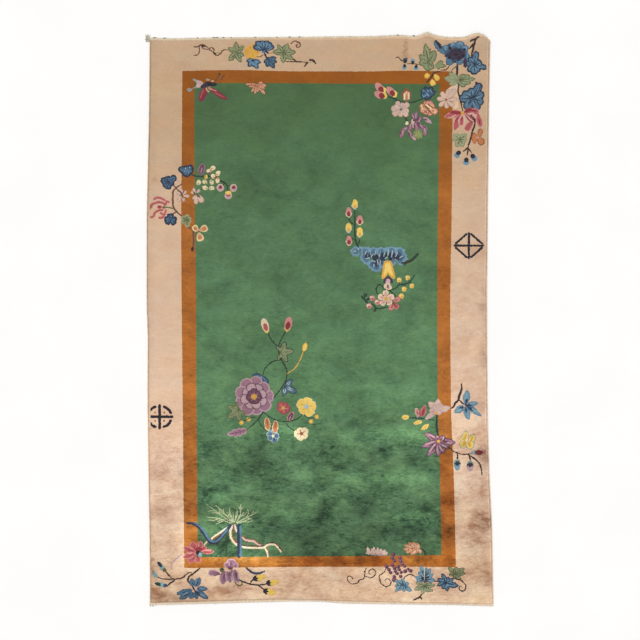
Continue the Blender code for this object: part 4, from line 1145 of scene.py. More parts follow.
    # Stems, buds and the blue flower at the corner.
    strands_drawn(
        "bark",
        (1.4, (192.0, 572.4), (187.6, 573.2), (184.0, 576.6), (180.0, 578.6), (172.0, 579.2), (163.0, 579.0), (156.8, 577.0)),
        (1.8, (199.6, 568.4), (195.0, 572.4), (190.4, 575.6), (188.0, 578.2), (188.4, 581.6), (190.8, 585.0)),
        (1.5, (165.8, 571.8), (168.2, 574.6), (171.4, 577.8)),
        (1.7, (166.6, 586.2), (170.0, 583.6), (174.8, 579.8)),
    )
    for x, y, turn, low, mid, top in ((165.8, 571.8, -40, "moss", "aqua", "navy"), (157.2, 577.2, -44, "aqua", "aqua", "navy"), (167.2, 586.0, -78, "indigo", "aqua", "fir")):
        petal(x, y, turn, 11.8, 4.6, mid, tip="oval")
        petal(*spot(x, y, turn, 6.0), turn, 7.2, 3.7, top, tip="leaf")
        petal(x, y, turn, 4.2, 4.0, low, tip="oval")
    for x, y, turn, long, wide in (
        (193.8, 587.0, -16, 9.4, 7.6), (195.2, 587.4, 26, 11.4, 8.0), (196.0, 588.8, 90, 12.2, 6.6), (195.8, 590.6, 124, 15.4, 7.4),
        (193.0, 590.0, -104, 17.6, 7.6), (192.6, 591.4, -120, 16.0, 7.8), (193.6, 591.6, 206, 8.6, 7.2), (194.8, 591.4, 164, 8.4, 6.2),
    ):
        petal(*spot(x, y, turn, 0.5), turn, long - 0.8, wide * 0.8, "blue", "indigo", "navy", tip="leaf", rim=0.8)
    strands_drawn("sky", (1.2, (188.0, 592.2), (181.6, 595.0)), (1.3, (195.2, 583.6), (196.6, 580.0)), (1.3, (199.4, 588.8), (204.4, 588.6)), (1.2, (200.4, 593.8), (205.4, 596.6)), furrow=0.1)
    stroke([(192.6, 586.6), (195.0, 590.4), (199.0, 595.4)], 2.0, "navy", furrow=0.1)
    strands_drawn("shell", (0.9, (194.6, 588.0), (196.2, 590.6)), furrow=0.1)


def field_left_group():
    """A flower spray of the weaver's common kind, round one full mauve bloom."""
    stroke([(286.6, 330.4), (280.8, 340.0), (278.4, 350.0), (282.0, 361.0), (287.0, 371.0), (284.6, 383.0), (276.0, 395.0), (266.0, 407.0), (257.6, 420.0), (246.4, 430.4)], 1.35, "fir")
    stroke([(278.6, 347.0), (271.6, 340.4), (267.8, 332.0)], 1.15, "fir")
    stroke([(281.4, 359.6), (272.2, 362.0), (265.2, 368.4), (262.6, 375.6)], 1.1, "fir")
    stroke([(286.8, 374.0), (294.6, 368.4), (300.0, 360.0), (303.4, 350.6)], 1.0, "gold")
    stroke([(262.8, 411.6), (272.6, 418.6), (284.0, 421.4), (296.4, 419.4), (305.0, 412.0)], 1.15, "fir")
    stroke([(284.6, 421.4), (290.4, 428.4), (299.0, 432.6)], 1.0, "fir")
    stroke([(258.0, 419.4), (262.8, 427.6), (270.6, 432.6)], 1.0, "fir")
    # Buds at the top of the spray.
    for x, y, turn, body, heart in ((286.6, 332.0, 12, "pink", "crimson"), (267.4, 333.4, -16, "cream", "rose")):
        petal(x, y, turn, 7.0, 6.2, "yellow", tip="round")
        petal(*spot(x, y, turn, 1.6), turn, 14.0, 7.6, body, tip="oval")
        petal(*spot(x, y, turn, 2.2), turn, 8.4, 4.6, heart, tip="oval")
    petal(303.6, 351.4, 16, 9.0, 5.0, "yellow", "gold", None, tip="oval")
    # Dark-edged leaves along the stem.
    lobed(261.8, 376.4, 206, 12.6, BROAD, "indigo", "navy", "sky", sinus=0.6)
    lobed(280.4, 352.6, 84, 14.0, VINE, "sage", "fir", "moss", sinus=0.62)
    lobed(285.0, 386.4, 118, 13.0, BROAD, "blue", "navy", "navy", sinus=0.62, shine="ice")
    # The full bloom.
    rosette(254.0, 396.6, 19.6, 9, "mauve", "lilac", "purple", turn=8, plump=1.12, vary=0.05, rim=1.0)
    rosette(254.0, 396.6, 13.6, 8, "lilac", "purple", "mauve", turn=28, plump=1.1, vary=0.05, rim=0.8)
    rosette(254.0, 396.6, 8.0, 7, "purple", "plum", "mauve", turn=2, plump=1.1, vary=0.05, rim=0.6)
    disc(254.0, 396.6, 6.0, 5.6, "gold", wave=0.08, bumps=7)
    for a in range(6):
        at = spot(254.0, 396.6, a * 60 + 14, 1.7)
        disc(at[0], at[1], 0.9, 0.9, "orange", furrow=0.1)
    # Leaves and small flowers round it.
    lobed(238.4, 410.0, 232, 13.6, VINE, "sage", "moss", "moss", sinus=0.6)
    oak(246.8, 430.0, 252, 20.0, 8.4, 4, "mauve", "lilac", "purple", bend=0.1)
    rosette(306.6, 406.6, 9.8, 5, "yellow", "straw", "gold", turn=10, plump=0.98, core="ice", core_size=0.24, rim=0.6)
    rosette(301.4, 433.8, 7.0, 5, "cream", "straw", "orange", turn=-20, plump=0.98, core="rust", core_size=0.26, rim=0.5)
    rosette(283.4, 408.0, 6.6, 5, "rose", "crimson", "pink", turn=30, plump=1.0, core="gold", core_size=0.26, rim=0.5)
    rosette(273.0, 436.0, 6.4, 5, "blue", "ice", "navy", turn=16, plump=1.0, core="cream", core_size=0.24, rim=0.5)
    petal(288.2, 421.0, 28, 10.4, 5.8, "purple", "pink", "lilac", tip="oval")
    for x, y, turn in ((266.4, 417.4, 172), (276.0, 420.4, 186)):
        petal(x, y, turn, 13.4, 6.2, "orange", "cream", "rust", tip="oval", rim=0.7)
    for x, y in ((248.6, 419.4), (241.6, 422.6), (311.0, 421.6), (316.6, 416.8)):
        disc(x, y, 4.4, 4.6, "gold")
        disc(x, y, 2.6, 2.6, "yellow", furrow=0.1)
    stroke([(256.0, 417.0), (250.4, 418.0), (243.0, 421.4)], 0.8, "fir")
    stroke([(303.6, 414.4), (308.6, 417.8), (315.0, 417.4)], 0.8, "fir")


def round_medallion(x, y, wide, high, line=2.8):
    """A cross in a ring that is open at its four arms, with a dot in each quarter."""
    for k in range(4):
        a = np.radians(np.linspace(19, 71, 9) + 90 * k)
        pts = np.stack([x + (wide - line) / 2 * np.cos(a), y + (high - line) / 2 * np.sin(a)], 1)
        stroke(pts, line, "ink", 1.0, 1.0, soft=False)
        b = math.radians(45 + 90 * k)
        disc(x + wide * 0.22 * math.cos(b) * 1.1, y + high * 0.22 * math.sin(b) * 1.1, 1.8, 1.8, "rust", furrow=0.2)
    stroke([(x - wide / 2 + 0.4, y), (x + wide / 2 - 0.4, y)], line, "ink", 1.0, 1.0, soft=False)
    stroke([(x, y - high / 2 + 0.4), (x, y + high / 2 - 0.4)], line, "ink", 1.0, 1.0, soft=False)


def diamond_medallion(x, y, wide, high, line=2.2):
    """A cross in a diamond whose four sides stop short of its corners."""
    w, h = (wide - line) / 2, (high - line) / 2
    corners = [(x, y - h), (x + w, y), (x, y + h), (x - w, y)]
    for (ax, ay), (bx, by) in zip(corners, corners[1:] + corners[:1]):
        ends = [(ax + (bx - ax) * f, ay + (by - ay) * f) for f in (0.13, 0.87)]
        stroke(ends, line, "ink", 1.0, 1.0, soft=False)
    stroke([(x - w + 0.6, y), (x + w - 0.6, y)], line, "ink", 1.0, 1.0, soft=False)
    stroke([(x, y - h + 0.6), (x, y + h - 0.6)], line, "ink", 1.0, 1.0, soft=False)


far_border_spray()
salmon_sprig()
butterfly()
left_spray()
corner_spray()
field_right_group()
field_left_group()
right_spray()
near_right_spray()
near_left_spray()
round_medallion(159.6, 416.8, 26.6, 24.4)
diamond_medallion(468.9, 245.6, 33.0, 29.4)


# ---------------------------------------------------------------- painted light and shade, and soil
# How light each ground looks along the rug, a painted light and shade of the nap, and how yellowed it is, far end
# first.
TONE_COLUMNS = ("ground", "row", "light", "yellow")
TONES = [
    ("tan", 36.0, 0.9, 0.045),
    ("tan", 125.0, 0.9, 0.06),
    ("tan", 200.0, 0.955, 0.02),
    ("tan", 320.0, 0.995, 0.0),
    ("tan", 465.0, 1.06, -0.01),
    ("tan", 530.0, 1.02, 0.01),
    ("tan", 604.0, 1.02, 0.03),
    ("amber", 71.0, 0.885, 0.38),
    ("amber", 145.0, 0.885, 0.22),
    ("amber", 205.0, 0.98, 0.1),
    ("amber", 300.0, 0.99, 0.07),
    ("amber", 390.0, 1.06, 0.04),
    ("amber", 445.0, 1.0, 0.05),
    ("amber", 510.0, 0.99, 0.03),
    ("amber", 567.0, 1.02, 0.18),
    ("green", 84.0, 0.868, 0.08),
    ("green", 165.0, 0.93, 0.03),
    ("green", 250.0, 0.968, 0.0),
    ("green", 320.0, 1.015, 0.0),
    ("green", 400.0, 1.045, 0.0),
    ("green", 455.0, 0.985, 0.0),
    ("green", 510.0, 0.955, 0.0),
    ("green", 556.0, 0.85, 0.0),
]

# Places painted dark or light, the painted shade and light of the nap, and places where the pile is soiled.
PATCH_COLUMNS = ("column", "row", "wide", "high", "shade_and_soil_darker", "brown")
PATCHES = [
    # the field: painted shade and painted light of the nap
    (258.0, 456.0, 11.0, 17.0, 0.2, 0.0),
    (315.0, 456.0, 14.0, 10.0, 0.13, 0.0),
    (370.0, 462.0, 6.0, 5.0, 0.18, 0.0),
    (413.0, 460.0, 8.0, 8.0, 0.1, 0.0),
    (353.0, 425.0, 16.0, 6.0, 0.08, 0.0),
    (321.0, 514.0, 6.0, 14.0, 0.18, 0.0),
    (314.0, 541.0, 15.0, 14.0, 0.15, 0.0),
    (362.0, 510.0, 20.0, 8.0, 0.17, 0.0),
    (203.0, 511.0, 8.0, 9.0, 0.17, 0.0),
    (206.0, 115.0, 20.0, 36.0, 0.045, 0.0),
    (370.0, 451.0, 26.0, 6.0, 0.06, 0.0),
    (210.0, 463.0, 12.0, 6.0, 0.05, 0.0),
    (402.0, 538.0, 26.0, 10.0, 0.08, 0.0),
    (268.0, 178.0, 22.0, 26.0, 0.07, 0.0),
    (244.0, 196.0, 12.0, 30.0, 0.05, 0.0),
    (358.0, 481.0, 26.0, 9.0, -0.09, 0.0),
    (420.0, 476.0, 16.0, 9.0, -0.1, 0.0),
    (220.0, 484.0, 22.0, 9.0, -0.07, 0.0),
    (348.0, 441.0, 18.0, 7.0, -0.07, 0.0),
    (300.0, 442.0, 16.0, 6.0, -0.05, 0.0),
    (408.0, 200.0, 26.0, 60.0, -0.04, 0.0),
    (420.0, 345.0, 20.0, 60.0, -0.02, 0.0),
    (283.0, 300.0, 12.0, 42.0, 0.06, 0.0),
    (386.0, 290.0, 16.0, 14.0, -0.06, 0.0),
    (410.0, 398.0, 34.0, 12.0, -0.07, 0.0),
    (410.0, 436.0, 42.0, 10.0, -0.28, 0.0),
    (284.0, 433.0, 19.0, 9.0, -0.31, 0.0),
    (378.0, 461.0, 44.0, 6.0, 0.07, 0.0),
    (210.0, 498.0, 18.0, 8.0, -0.24, 0.0),
    (432.0, 500.0, 13.0, 8.0, 0.08, 0.0),
    (226.0, 529.0, 28.0, 14.0, -0.33, 0.0),
    (236.0, 553.0, 36.0, 8.0, -0.4, 0.0),
    (364.0, 526.0, 22.0, 10.0, 0.16, 0.0),
    (416.0, 517.0, 24.0, 9.0, -0.25, 0.0),
    (388.0, 478.0, 26.0, 8.0, -0.16, 0.0),
    (288.0, 516.0, 14.0, 9.0, -0.16, 0.0),
    (205.0, 452.0, 9.0, 8.0, -0.1, 0.0),
    (350.0, 492.0, 22.0, 6.0, -0.08, 0.0),
    (356.0, 548.0, 12.0, 7.0, -0.1, 0.0),
    (308.0, 366.0, 12.0, 26.0, -0.1, 0.0),
    (380.0, 402.0, 14.0, 12.0, -0.06, 0.0),
    (302.0, 537.0, 11.0, 10.0, 0.2, 0.0),
    # the amber band
    (190.0, 474.0, 9.0, 8.0, 0.1, 0.1),
    (189.0, 508.0, 9.0, 10.0, -0.06, 0.0),
    (444.0, 492.0, 9.0, 40.0, 0.06, 0.1),
    (240.0, 562.0, 54.0, 6.0, -0.17, 0.0),
    (377.0, 561.0, 11.0, 7.0, 0.24, 0.2),
    (404.0, 561.0, 14.0, 6.0, -0.16, 0.0),
    (190.0, 396.0, 8.0, 9.0, 0.05, 0.0),
    (190.0, 236.0, 8.0, 12.0, -0.05, 0.0),
    (445.0, 278.0, 8.0, 12.0, 0.07, 0.0),
    (446.0, 414.0, 8.0, 9.0, -0.05, 0.0),
    (190.0, 458.5, 9.0, 2.0, 0.16, 0.2),
    (190.0, 483.0, 9.0, 4.0, 0.12, 0.15),
    (188.0, 508.0, 4.0, 5.0, 0.2, 0.25),
    (446.0, 501.0, 10.0, 6.0, 0.16, 0.15),
    (446.0, 535.0, 9.0, 12.0, 0.07, 0.05),
    (448.0, 560.0, 7.0, 7.0, 0.12, 0.1),
    (310.0, 561.0, 12.0, 7.0, 0.24, 0.2),
    (338.0, 561.0, 9.0, 7.0, 0.22, 0.2),
    (360.0, 561.0, 6.0, 6.0, 0.16, 0.2),
    # the wide border
    (160.0, 473.0, 10.0, 8.0, 0.03, 0.35),
    (165.0, 510.0, 12.0, 7.0, 0.03, 0.5),
    (152.0, 570.0, 6.0, 24.0, 0.03, 0.5),
    (478.0, 250.0, 12.0, 8.0, 0.02, 0.25),
    (486.0, 330.0, 4.0, 60.0, 0.02, 0.3),
    (482.0, 405.0, 5.0, 7.0, 0.03, 0.5),
    (484.0, 450.0, 5.0, 8.0, 0.03, 0.35),
    (483.0, 491.0, 4.0, 11.0, 0.03, 0.45),
    (481.0, 521.0, 11.0, 11.0, 0.13, 0.95),
    (478.0, 574.0, 17.0, 25.0, 0.06, 0.1),
    (457.0, 503.0, 7.0, 24.0, 0.07, 0.0),
    (168.0, 581.0, 14.0, 11.0, 0.06, 0.1),
    (180.0, 478.0, 6.0, 14.0, 0.06, 0.0),
    (165.0, 493.0, 18.0, 6.0, 0.05, 0.0),
    (471.0, 528.0, 8.0, 5.0, 0.01, 0.5),
    (475.0, 541.0, 16.0, 7.0, 0.04, 0.6),
    (487.0, 577.0, 5.0, 8.0, 0.04, 0.55),
    (157.0, 592.0, 13.0, 9.0, 0.05, 0.7),
    (226.0, 591.0, 19.0, 8.0, 0.05, 0.8),
    (149.4, 310.0, 4.0, 60.0, 0.045, 0.0),
    (482.6, 307.0, 4.6, 5.0, 0.09, 0.2),
    (182.0, 540.0, 8.0, 28.0, -0.06, 0.0),
    (163.0, 435.0, 12.0, 10.0, -0.02, 0.2),
    (292.0, 585.0, 28.0, 11.0, 0.01, 0.5),
    (151.0, 150.0, 6.0, 110.0, 0.03, 0.0),
    (484.0, 358.0, 6.0, 9.0, 0.06, 0.2),
    (480.0, 482.0, 19.0, 78.0, 0.05, 0.22),
    (485.0, 456.0, 8.0, 12.0, 0.12, 0.35),
    (170.0, 598.0, 26.0, 6.0, 0.12, 0.4),
    (330.0, 576.0, 12.0, 6.0, 0.06, 0.1),
    (402.0, 575.0, 14.0, 6.0, -0.05, 0.0),
    (340.0, 598.0, 30.0, 5.0, 0.01, 0.3),
    (406.0, 49.0, 1.9, 11.0, 0.02, 0.8),
    (404.0, 56.0, 3.6, 6.0, 0.0, 0.3),
    (155.0, 179.6, 3.4, 2.2, 0.03, 0.4),
]


# How strongly the nap's painted light and shade mottle each ground, far end first.
WORN_NAP_SHADE_COLUMNS = ("row", "tan", "tan_right", "amber", "green", "motif")
WORN_NAP_SHADE = [
    (36.0, 0.1, 0.1, 0.16, 0.14, 0.1),
    (110.0, 0.1, 0.1, 0.2, 0.19, 0.1),
    (200.0, 0.11, 0.13, 0.34, 0.32, 0.12),
    (330.0, 0.13, 0.28, 0.44, 0.4, 0.15),
    (410.0, 0.2, 0.3, 0.5, 0.56, 0.18),
    (450.0, 0.42, 0.5, 0.66, 0.95, 0.24),
    (520.0, 0.5, 0.5, 0.84, 1.0, 0.28),
    (604.0, 0.5, 0.55, 0.95, 1.05, 0.3),
]
# How the painted nap shade tints each dye where it is dark: below 0 browner, above 0 greener.
SHADE_LEAN = {"tan": -0.36, "amber": -0.05, "green": 0.15, "motif": 0.0}


def patched(col, row):
    """How much painted shade and soil take the light out of each place, and how soiled it is."""
    light, brown = np.ones(len(row)), np.zeros(len(row))
    sway = 1.4 * np.sin(row * 0.31 + 0.7 * np.sin(col * 0.23)) + 0.9 * np.sin(row * 0.83 + col * 0.17)
    drift = 0.8 * np.sin(col * 0.41 + 1.1 * np.sin(row * 0.19))
    for x, y, wide, high, shade_and_soil_darker, dirt in PATCHES:
        d = ((col + sway * wide / 8 - x) / wide) ** 2 + ((row + drift * high / 8 - y) / high) ** 2
        share = np.exp(-1.1 * d**1.4)
        light = light * (1 - shade_and_soil_darker * share)
        brown = brown + dirt * share
    return light, np.clip(brown, 0, 1.0)


def tone(ground, col, row):
    """How an even dye looks at this place with its painted light and shade: red, green and blue shares. In the amber
    the painted shade also takes out blue and some green.
    """
    rows = [r[1:] for r in TONES if r[0] == ground]
    light, _ = patched(col, row)
    if not rows:
        return np.stack([light] * 3, 1)
    at, level, yellow = (column(rows, TONE_COLUMNS[1:], n) for n in TONE_COLUMNS[1:])
    level, yellow = curve(at, level, row), curve(at, yellow, row)
    turn = 1 - light if ground == "amber" else 0.0
    light = light * level
    return np.stack([light, light * (1 - 0.15 * yellow - 0.45 * turn), light * (1 - yellow - 1.2 * turn)], 1)


def worn_nap_shade_at(ground, col, row):
    """How strongly the painted nap shade mottles the pile: more towards the near end, and more in the painted dark
    patches.
    """
    light, _ = patched(col, row)
    rows = column(WORN_NAP_SHADE, WORN_NAP_SHADE_COLUMNS, "row")
    worn_nap_shade = curve(rows, column(WORN_NAP_SHADE, WORN_NAP_SHADE_COLUMNS, ground), row)
    if ground == "tan":
        worn_nap_shade = np.where(col > 320, curve(rows, column(WORN_NAP_SHADE, WORN_NAP_SHADE_COLUMNS, "tan_right"), row), worn_nap_shade)
    return worn_nap_shade + 0.8 * np.clip(1 - light, 0, 1)


# ---------------------------------------------------------------- the pile's surface
PILE_EDGE_COLUMNS = ("inset", "height")
PILE_EDGE = [
    (6.6, THICK),
    (4.6, THICK - 0.5),
    (2.9, THICK - 1.5),
    (1.5, THICK - 3.1),
    (0.5, THICK - 5.2),
    (0.0, FOUNDATION + 3.4),
    (0.5, FOUNDATION),
    (0.9, 1.3),
]
FURROW_OUT = 3.2  # how far outside a motif its carved furrow reaches
GRID = 14.0


def on_rug(points):
    p = np.asarray(points, float)
    return np.stack([(p[:, 0] - CHART_X) * SQUARE, (CHART_Y - p[:, 1]) * SQUARE], 1)


def pile_loops(step, insets=(0.0,)):
    """The pile's outline, drawn in by each inset. The loops match point for point."""
    loops, wide, long = [], 0, 0
    for by in insets:
        ends = []
        for u, v in ((0, 0), (1, 0), (1, 1), (0, 1)):
            y = (2 * v - 1) * HALF_LONG
            for _ in range(8):
                x = side("right", y) - CORD_WIDE - GAP - by if u else side("left", y) + CORD_WIDE + GAP + by
                y = far("pile_edge", x) - by if v else near("pile_edge", x) + by
            ends.append((float(x), float(y)))
        (ax, ay), (bx, by_near), (cx, cy), (dx, dy) = ends
        wide, long = wide or int((bx - ax) / step), long or int((cy - by_near) / step)
        low, high = np.linspace(ax, bx, wide + 1)[:-1], np.linspace(cx, dx, wide + 1)[:-1]
        up, down = np.linspace(by_near, cy, long + 1)[:-1], np.linspace(dy, ay, long + 1)[:-1]
        loops.append(
            np.vstack(
                [
                    np.stack([low, near("pile_edge", low) + by], 1),
                    np.stack([side("right", up) - CORD_WIDE - GAP - by, up], 1),
                    np.stack([high, far("pile_edge", high) - by], 1),
                    np.stack([side("left", down) + CORD_WIDE + GAP + by, down], 1),
                ]
            )
        )
    # Knots stand a little in or out of the line.
    ragged = np.convolve(rng.normal(0, 1, len(loops[0]) + 2), (0.25, 0.5, 0.25), "valid")
    return [inset(loop, 0.35 + 0.4 * ragged) for loop in loops]


def winds(shape, px, py):
    """Whether a closed outline goes round each place."""
    x0, y0 = shape.T
    x1, y1 = np.roll(shape, -1, 0).T
    found = np.zeros(len(px), bool)
    for k in range(0, len(px), 12000):
        qx, qy = px[k : k + 12000, None], py[k : k + 12000, None]
        left = (x1 - x0) * (qy - y0) - (qx - x0) * (y1 - y0)
        up = (y0 <= qy) & (y1 > qy) & (left > 0)
        down = (y0 > qy) & (y1 <= qy) & (left < 0)
        found[k : k + 12000] = (up.sum(1) - down.sum(1)) != 0
    return found


def well_inside(px, py, by):
    return (
        (px > side("left", py) + CORD_WIDE + GAP + by)
        & (px < side("right", py) - CORD_WIDE - GAP - by)
        & (py > near("pile_edge", px) + by)
        & (py < far("pile_edge", px) - by)
    )


def cells(points, size):
    return np.floor((points + 2000.0) / size).astype(int)


def clear_of(points, others, reach):
    """Which points have none of the others near."""
    seen = np.zeros(np.full(2, int(4000 / reach) + 2), bool)
    at = cells(others, reach)
    for dx in (-1, 0, 1):
        for dy in (-1, 0, 1):
            seen[at[:, 0] + dx, at[:, 1] + dy] = True
    at = cells(points, reach)
    return ~seen[at[:, 0], at[:, 1]]


def thinned(points, size):
    _, first = np.unique(cells(points, size), axis=0, return_index=True)
    return points[np.sort(first)]


def hexagonal(step, shake):
    rows = np.arange(-HALF_LONG, HALF_LONG, step * 0.866)
    cols = np.arange(-HALF_WIDE, HALF_WIDE, step)
    x, y = np.meshgrid(cols, rows)
    x = x + np.where(np.arange(len(rows)) % 2, step / 2, 0.0)[:, None]
    p = np.stack([x.ravel(), y.ravel()], 1)
    return p + rng.uniform(-shake, shake, p.shape)


def triangulated(loop, shapes, loose):
    """The ground inside loop as triangles, cut along every outline that shows."""
    verts = [Vector((float(x), float(y))) for x, y in loop]
    edges = [(k, (k + 1) % len(loop)) for k in range(len(loop))]
    covered = topmost(np.vstack(shapes), shapes) if shapes else np.empty(0)
    start = 0
    for k, outline in enumerate(shapes):
        n = len(outline)
        hidden = covered[start : start + n] > k
        start += n
        shows = ~(hidden & np.roll(hidden, -1))
        used = np.flatnonzero(shows | np.roll(shows, 1))
        at = np.full(n, -1)
        at[used] = len(verts) + np.arange(len(used))
        verts += [Vector((float(x), float(y))) for x, y in outline[used]]
        edges += [(int(at[j]), int(at[(j + 1) % n])) for j in np.flatnonzero(shows)]
    verts += [Vector((float(x), float(y))) for x, y in loose]
    found = delaunay_2d_cdt(verts, edges, [], 0, 0.01, False)
    flat = np.array([(v.x, v.y) for v in found[0]])
    tris = np.array([f for f in found[2] if len(f) == 3], int)
    mid = flat[tris].mean(1)
    keep = well_inside(mid[:, 0], mid[:, 1], 16.0)
    edge = np.flatnonzero(~keep)
    keep[edge] = winds(loop, mid[edge, 0], mid[edge, 1])
    tris = tris[keep]
    used, tris = np.unique(tris, return_inverse=True)
    return flat[used], tris.reshape(-1, 3)


def topmost(mid, shapes):
    """Which drawn outline lies on top at each place; -1 is the bare ground."""
    found = np.full(len(mid), -1)
    order = np.argsort(mid[:, 1])
    ys = mid[order, 1]
    for k, shape in enumerate(shapes):
        (x0, y0), (x1, y1) = shape.min(0), shape.max(0)
        near_by = order[np.searchsorted(ys, y0) : np.searchsorted(ys, y1, "right")]
        x = mid[near_by, 0]
        near_by = near_by[(x > x0) & (x < x1)]
        if len(near_by):
            hit = winds(shape, mid[near_by, 0], mid[near_by, 1])
            found[near_by[hit]] = k
    return found


def rim_loop(tris):
    """The vertices of the open edge, in order."""
    a = tris[:, [0, 1, 2]].ravel()
    b = tris[:, [1, 2, 0]].ravel()
    both = set(zip(a.tolist(), b.tolist()))
    after = {p: q for p, q in both if (q, p) not in both}
    start = next(iter(after))
    loop, at = [start], after[start]
    while at != start and len(loop) < len(after):
        loop.append(at)
        at = after[at]
    if len(loop) != len(after):
        raise RuntimeError(f"the open edge has {len(after)} sides, and one loop of it {len(loop)}")
    return np.array(loop)


def new_mesh(name, verts, tris):
    mesh = bpy.data.meshes.new(name)
    mesh.vertices.add(len(verts))
    mesh.vertices.foreach_set("co", np.asarray(verts, np.float32).ravel() * np.float32(MM))
    mesh.loops.add(3 * len(tris))
    mesh.loops.foreach_set("vertex_index", np.asarray(tris, np.int32).ravel())
    mesh.polygons.add(len(tris))
    mesh.polygons.foreach_set("loop_start", np.arange(0, 3 * len(tris), 3, dtype=np.int32))
    mesh.update(calc_edges=True)
    mesh.shade_smooth()
    return mesh


def new_piece(name, mesh, material):
    piece = bpy.data.objects.new(name, mesh)
    bpy.context.scene.collection.objects.link(piece)
    mesh.materials.append(material)
    return piece


def give(mesh, name, kind, domain, values):
    values = np.asarray(values, np.float32)
    if kind == "FLOAT_COLOR":
        values = np.concatenate([values, np.ones((len(values), 1), np.float32)], 1)
    layer = mesh.attributes.new(name, kind, domain)
    layer.data.foreach_set("color" if kind == "FLOAT_COLOR" else "value", values.ravel())


def chart_outlines(finest):
    """The drawn outlines on the rug, kept inside the pile's edge."""
    kept = []
    for outline, yarn, furrow in DRAWN:
        if furrow < finest:
            continue
        p = on_rug(outline)
        for _ in range(2):
            p[:, 0] = np.clip(p[:, 0], side("left", p[:, 1]) + CORD_WIDE + 9.4, side("right", p[:, 1]) - CORD_WIDE - 9.4)
            p[:, 1] = np.clip(p[:, 1], near("pile_edge", p[:, 0]) + 9.0, far("pile_edge", p[:, 0]) - 9.0)
        kept.append((p, yarn, furrow))
    return kept


def dyed(flat, tris, on_top, shapes, muted=0.0):
    """Each triangle corner's colour in linear light with its painted light and shade, how strongly painted nap shade
    mottles it, its soil, and the lean of its painted shade.
    """
    names = list(YARNS)
    which = np.array([names.index("tan")] + [names.index(s[1]) for s in shapes])[on_top + 1]
    # One batch of yarn is never quite like the next.
    batch = 1 + rng.normal(0, 0.018, len(shapes) + 1)[on_top + 1]
    batch[on_top < GROUNDS] = 1.0
    col = flat[tris.ravel(), 0] / SQUARE + CHART_X
    row = CHART_Y - flat[tris.ravel(), 1] / SQUARE
    which, batch = np.repeat(which, 3), np.repeat(batch, 3)
    palette = np.array([YARNS[n] for n in names], float)
    out = palette[which] * batch[:, None]
    ground = np.where(on_top < GROUNDS, on_top, 9)
    ground = np.repeat(ground, 3)
    worn_nap_shade, lean = np.zeros(len(out)), np.zeros(len(out))
    for k, name in ((-1, "tan"), (0, "amber"), (1, "green"), (9, "motif")):
        here = ground == k
        out[here] *= tone(name, col[here], row[here])
        worn_nap_shade[here] = worn_nap_shade_at(name, col[here], row[here])
        lean[here] = SHADE_LEAN[name]
    if muted:
        grey = out.mean(1, keepdims=True)
        out = out + (grey - out) * muted
    soil = patched(col, row)[1] * np.where(ground == 9, 0.5, 1.0)
    return linear(np.clip(out, 0, 255)), worn_nap_shade, soil, lean


def across_map(points, left, right):
    """Places on the bake's map for points seen from straight above."""
    u = left + (right - left) * (points[:, 0] / (2 * HALF_WIDE) + 0.5)
    return np.stack([u, 0.006 + 0.988 * (points[:, 1] / (2 * HALF_LONG) + 0.5)], 1)


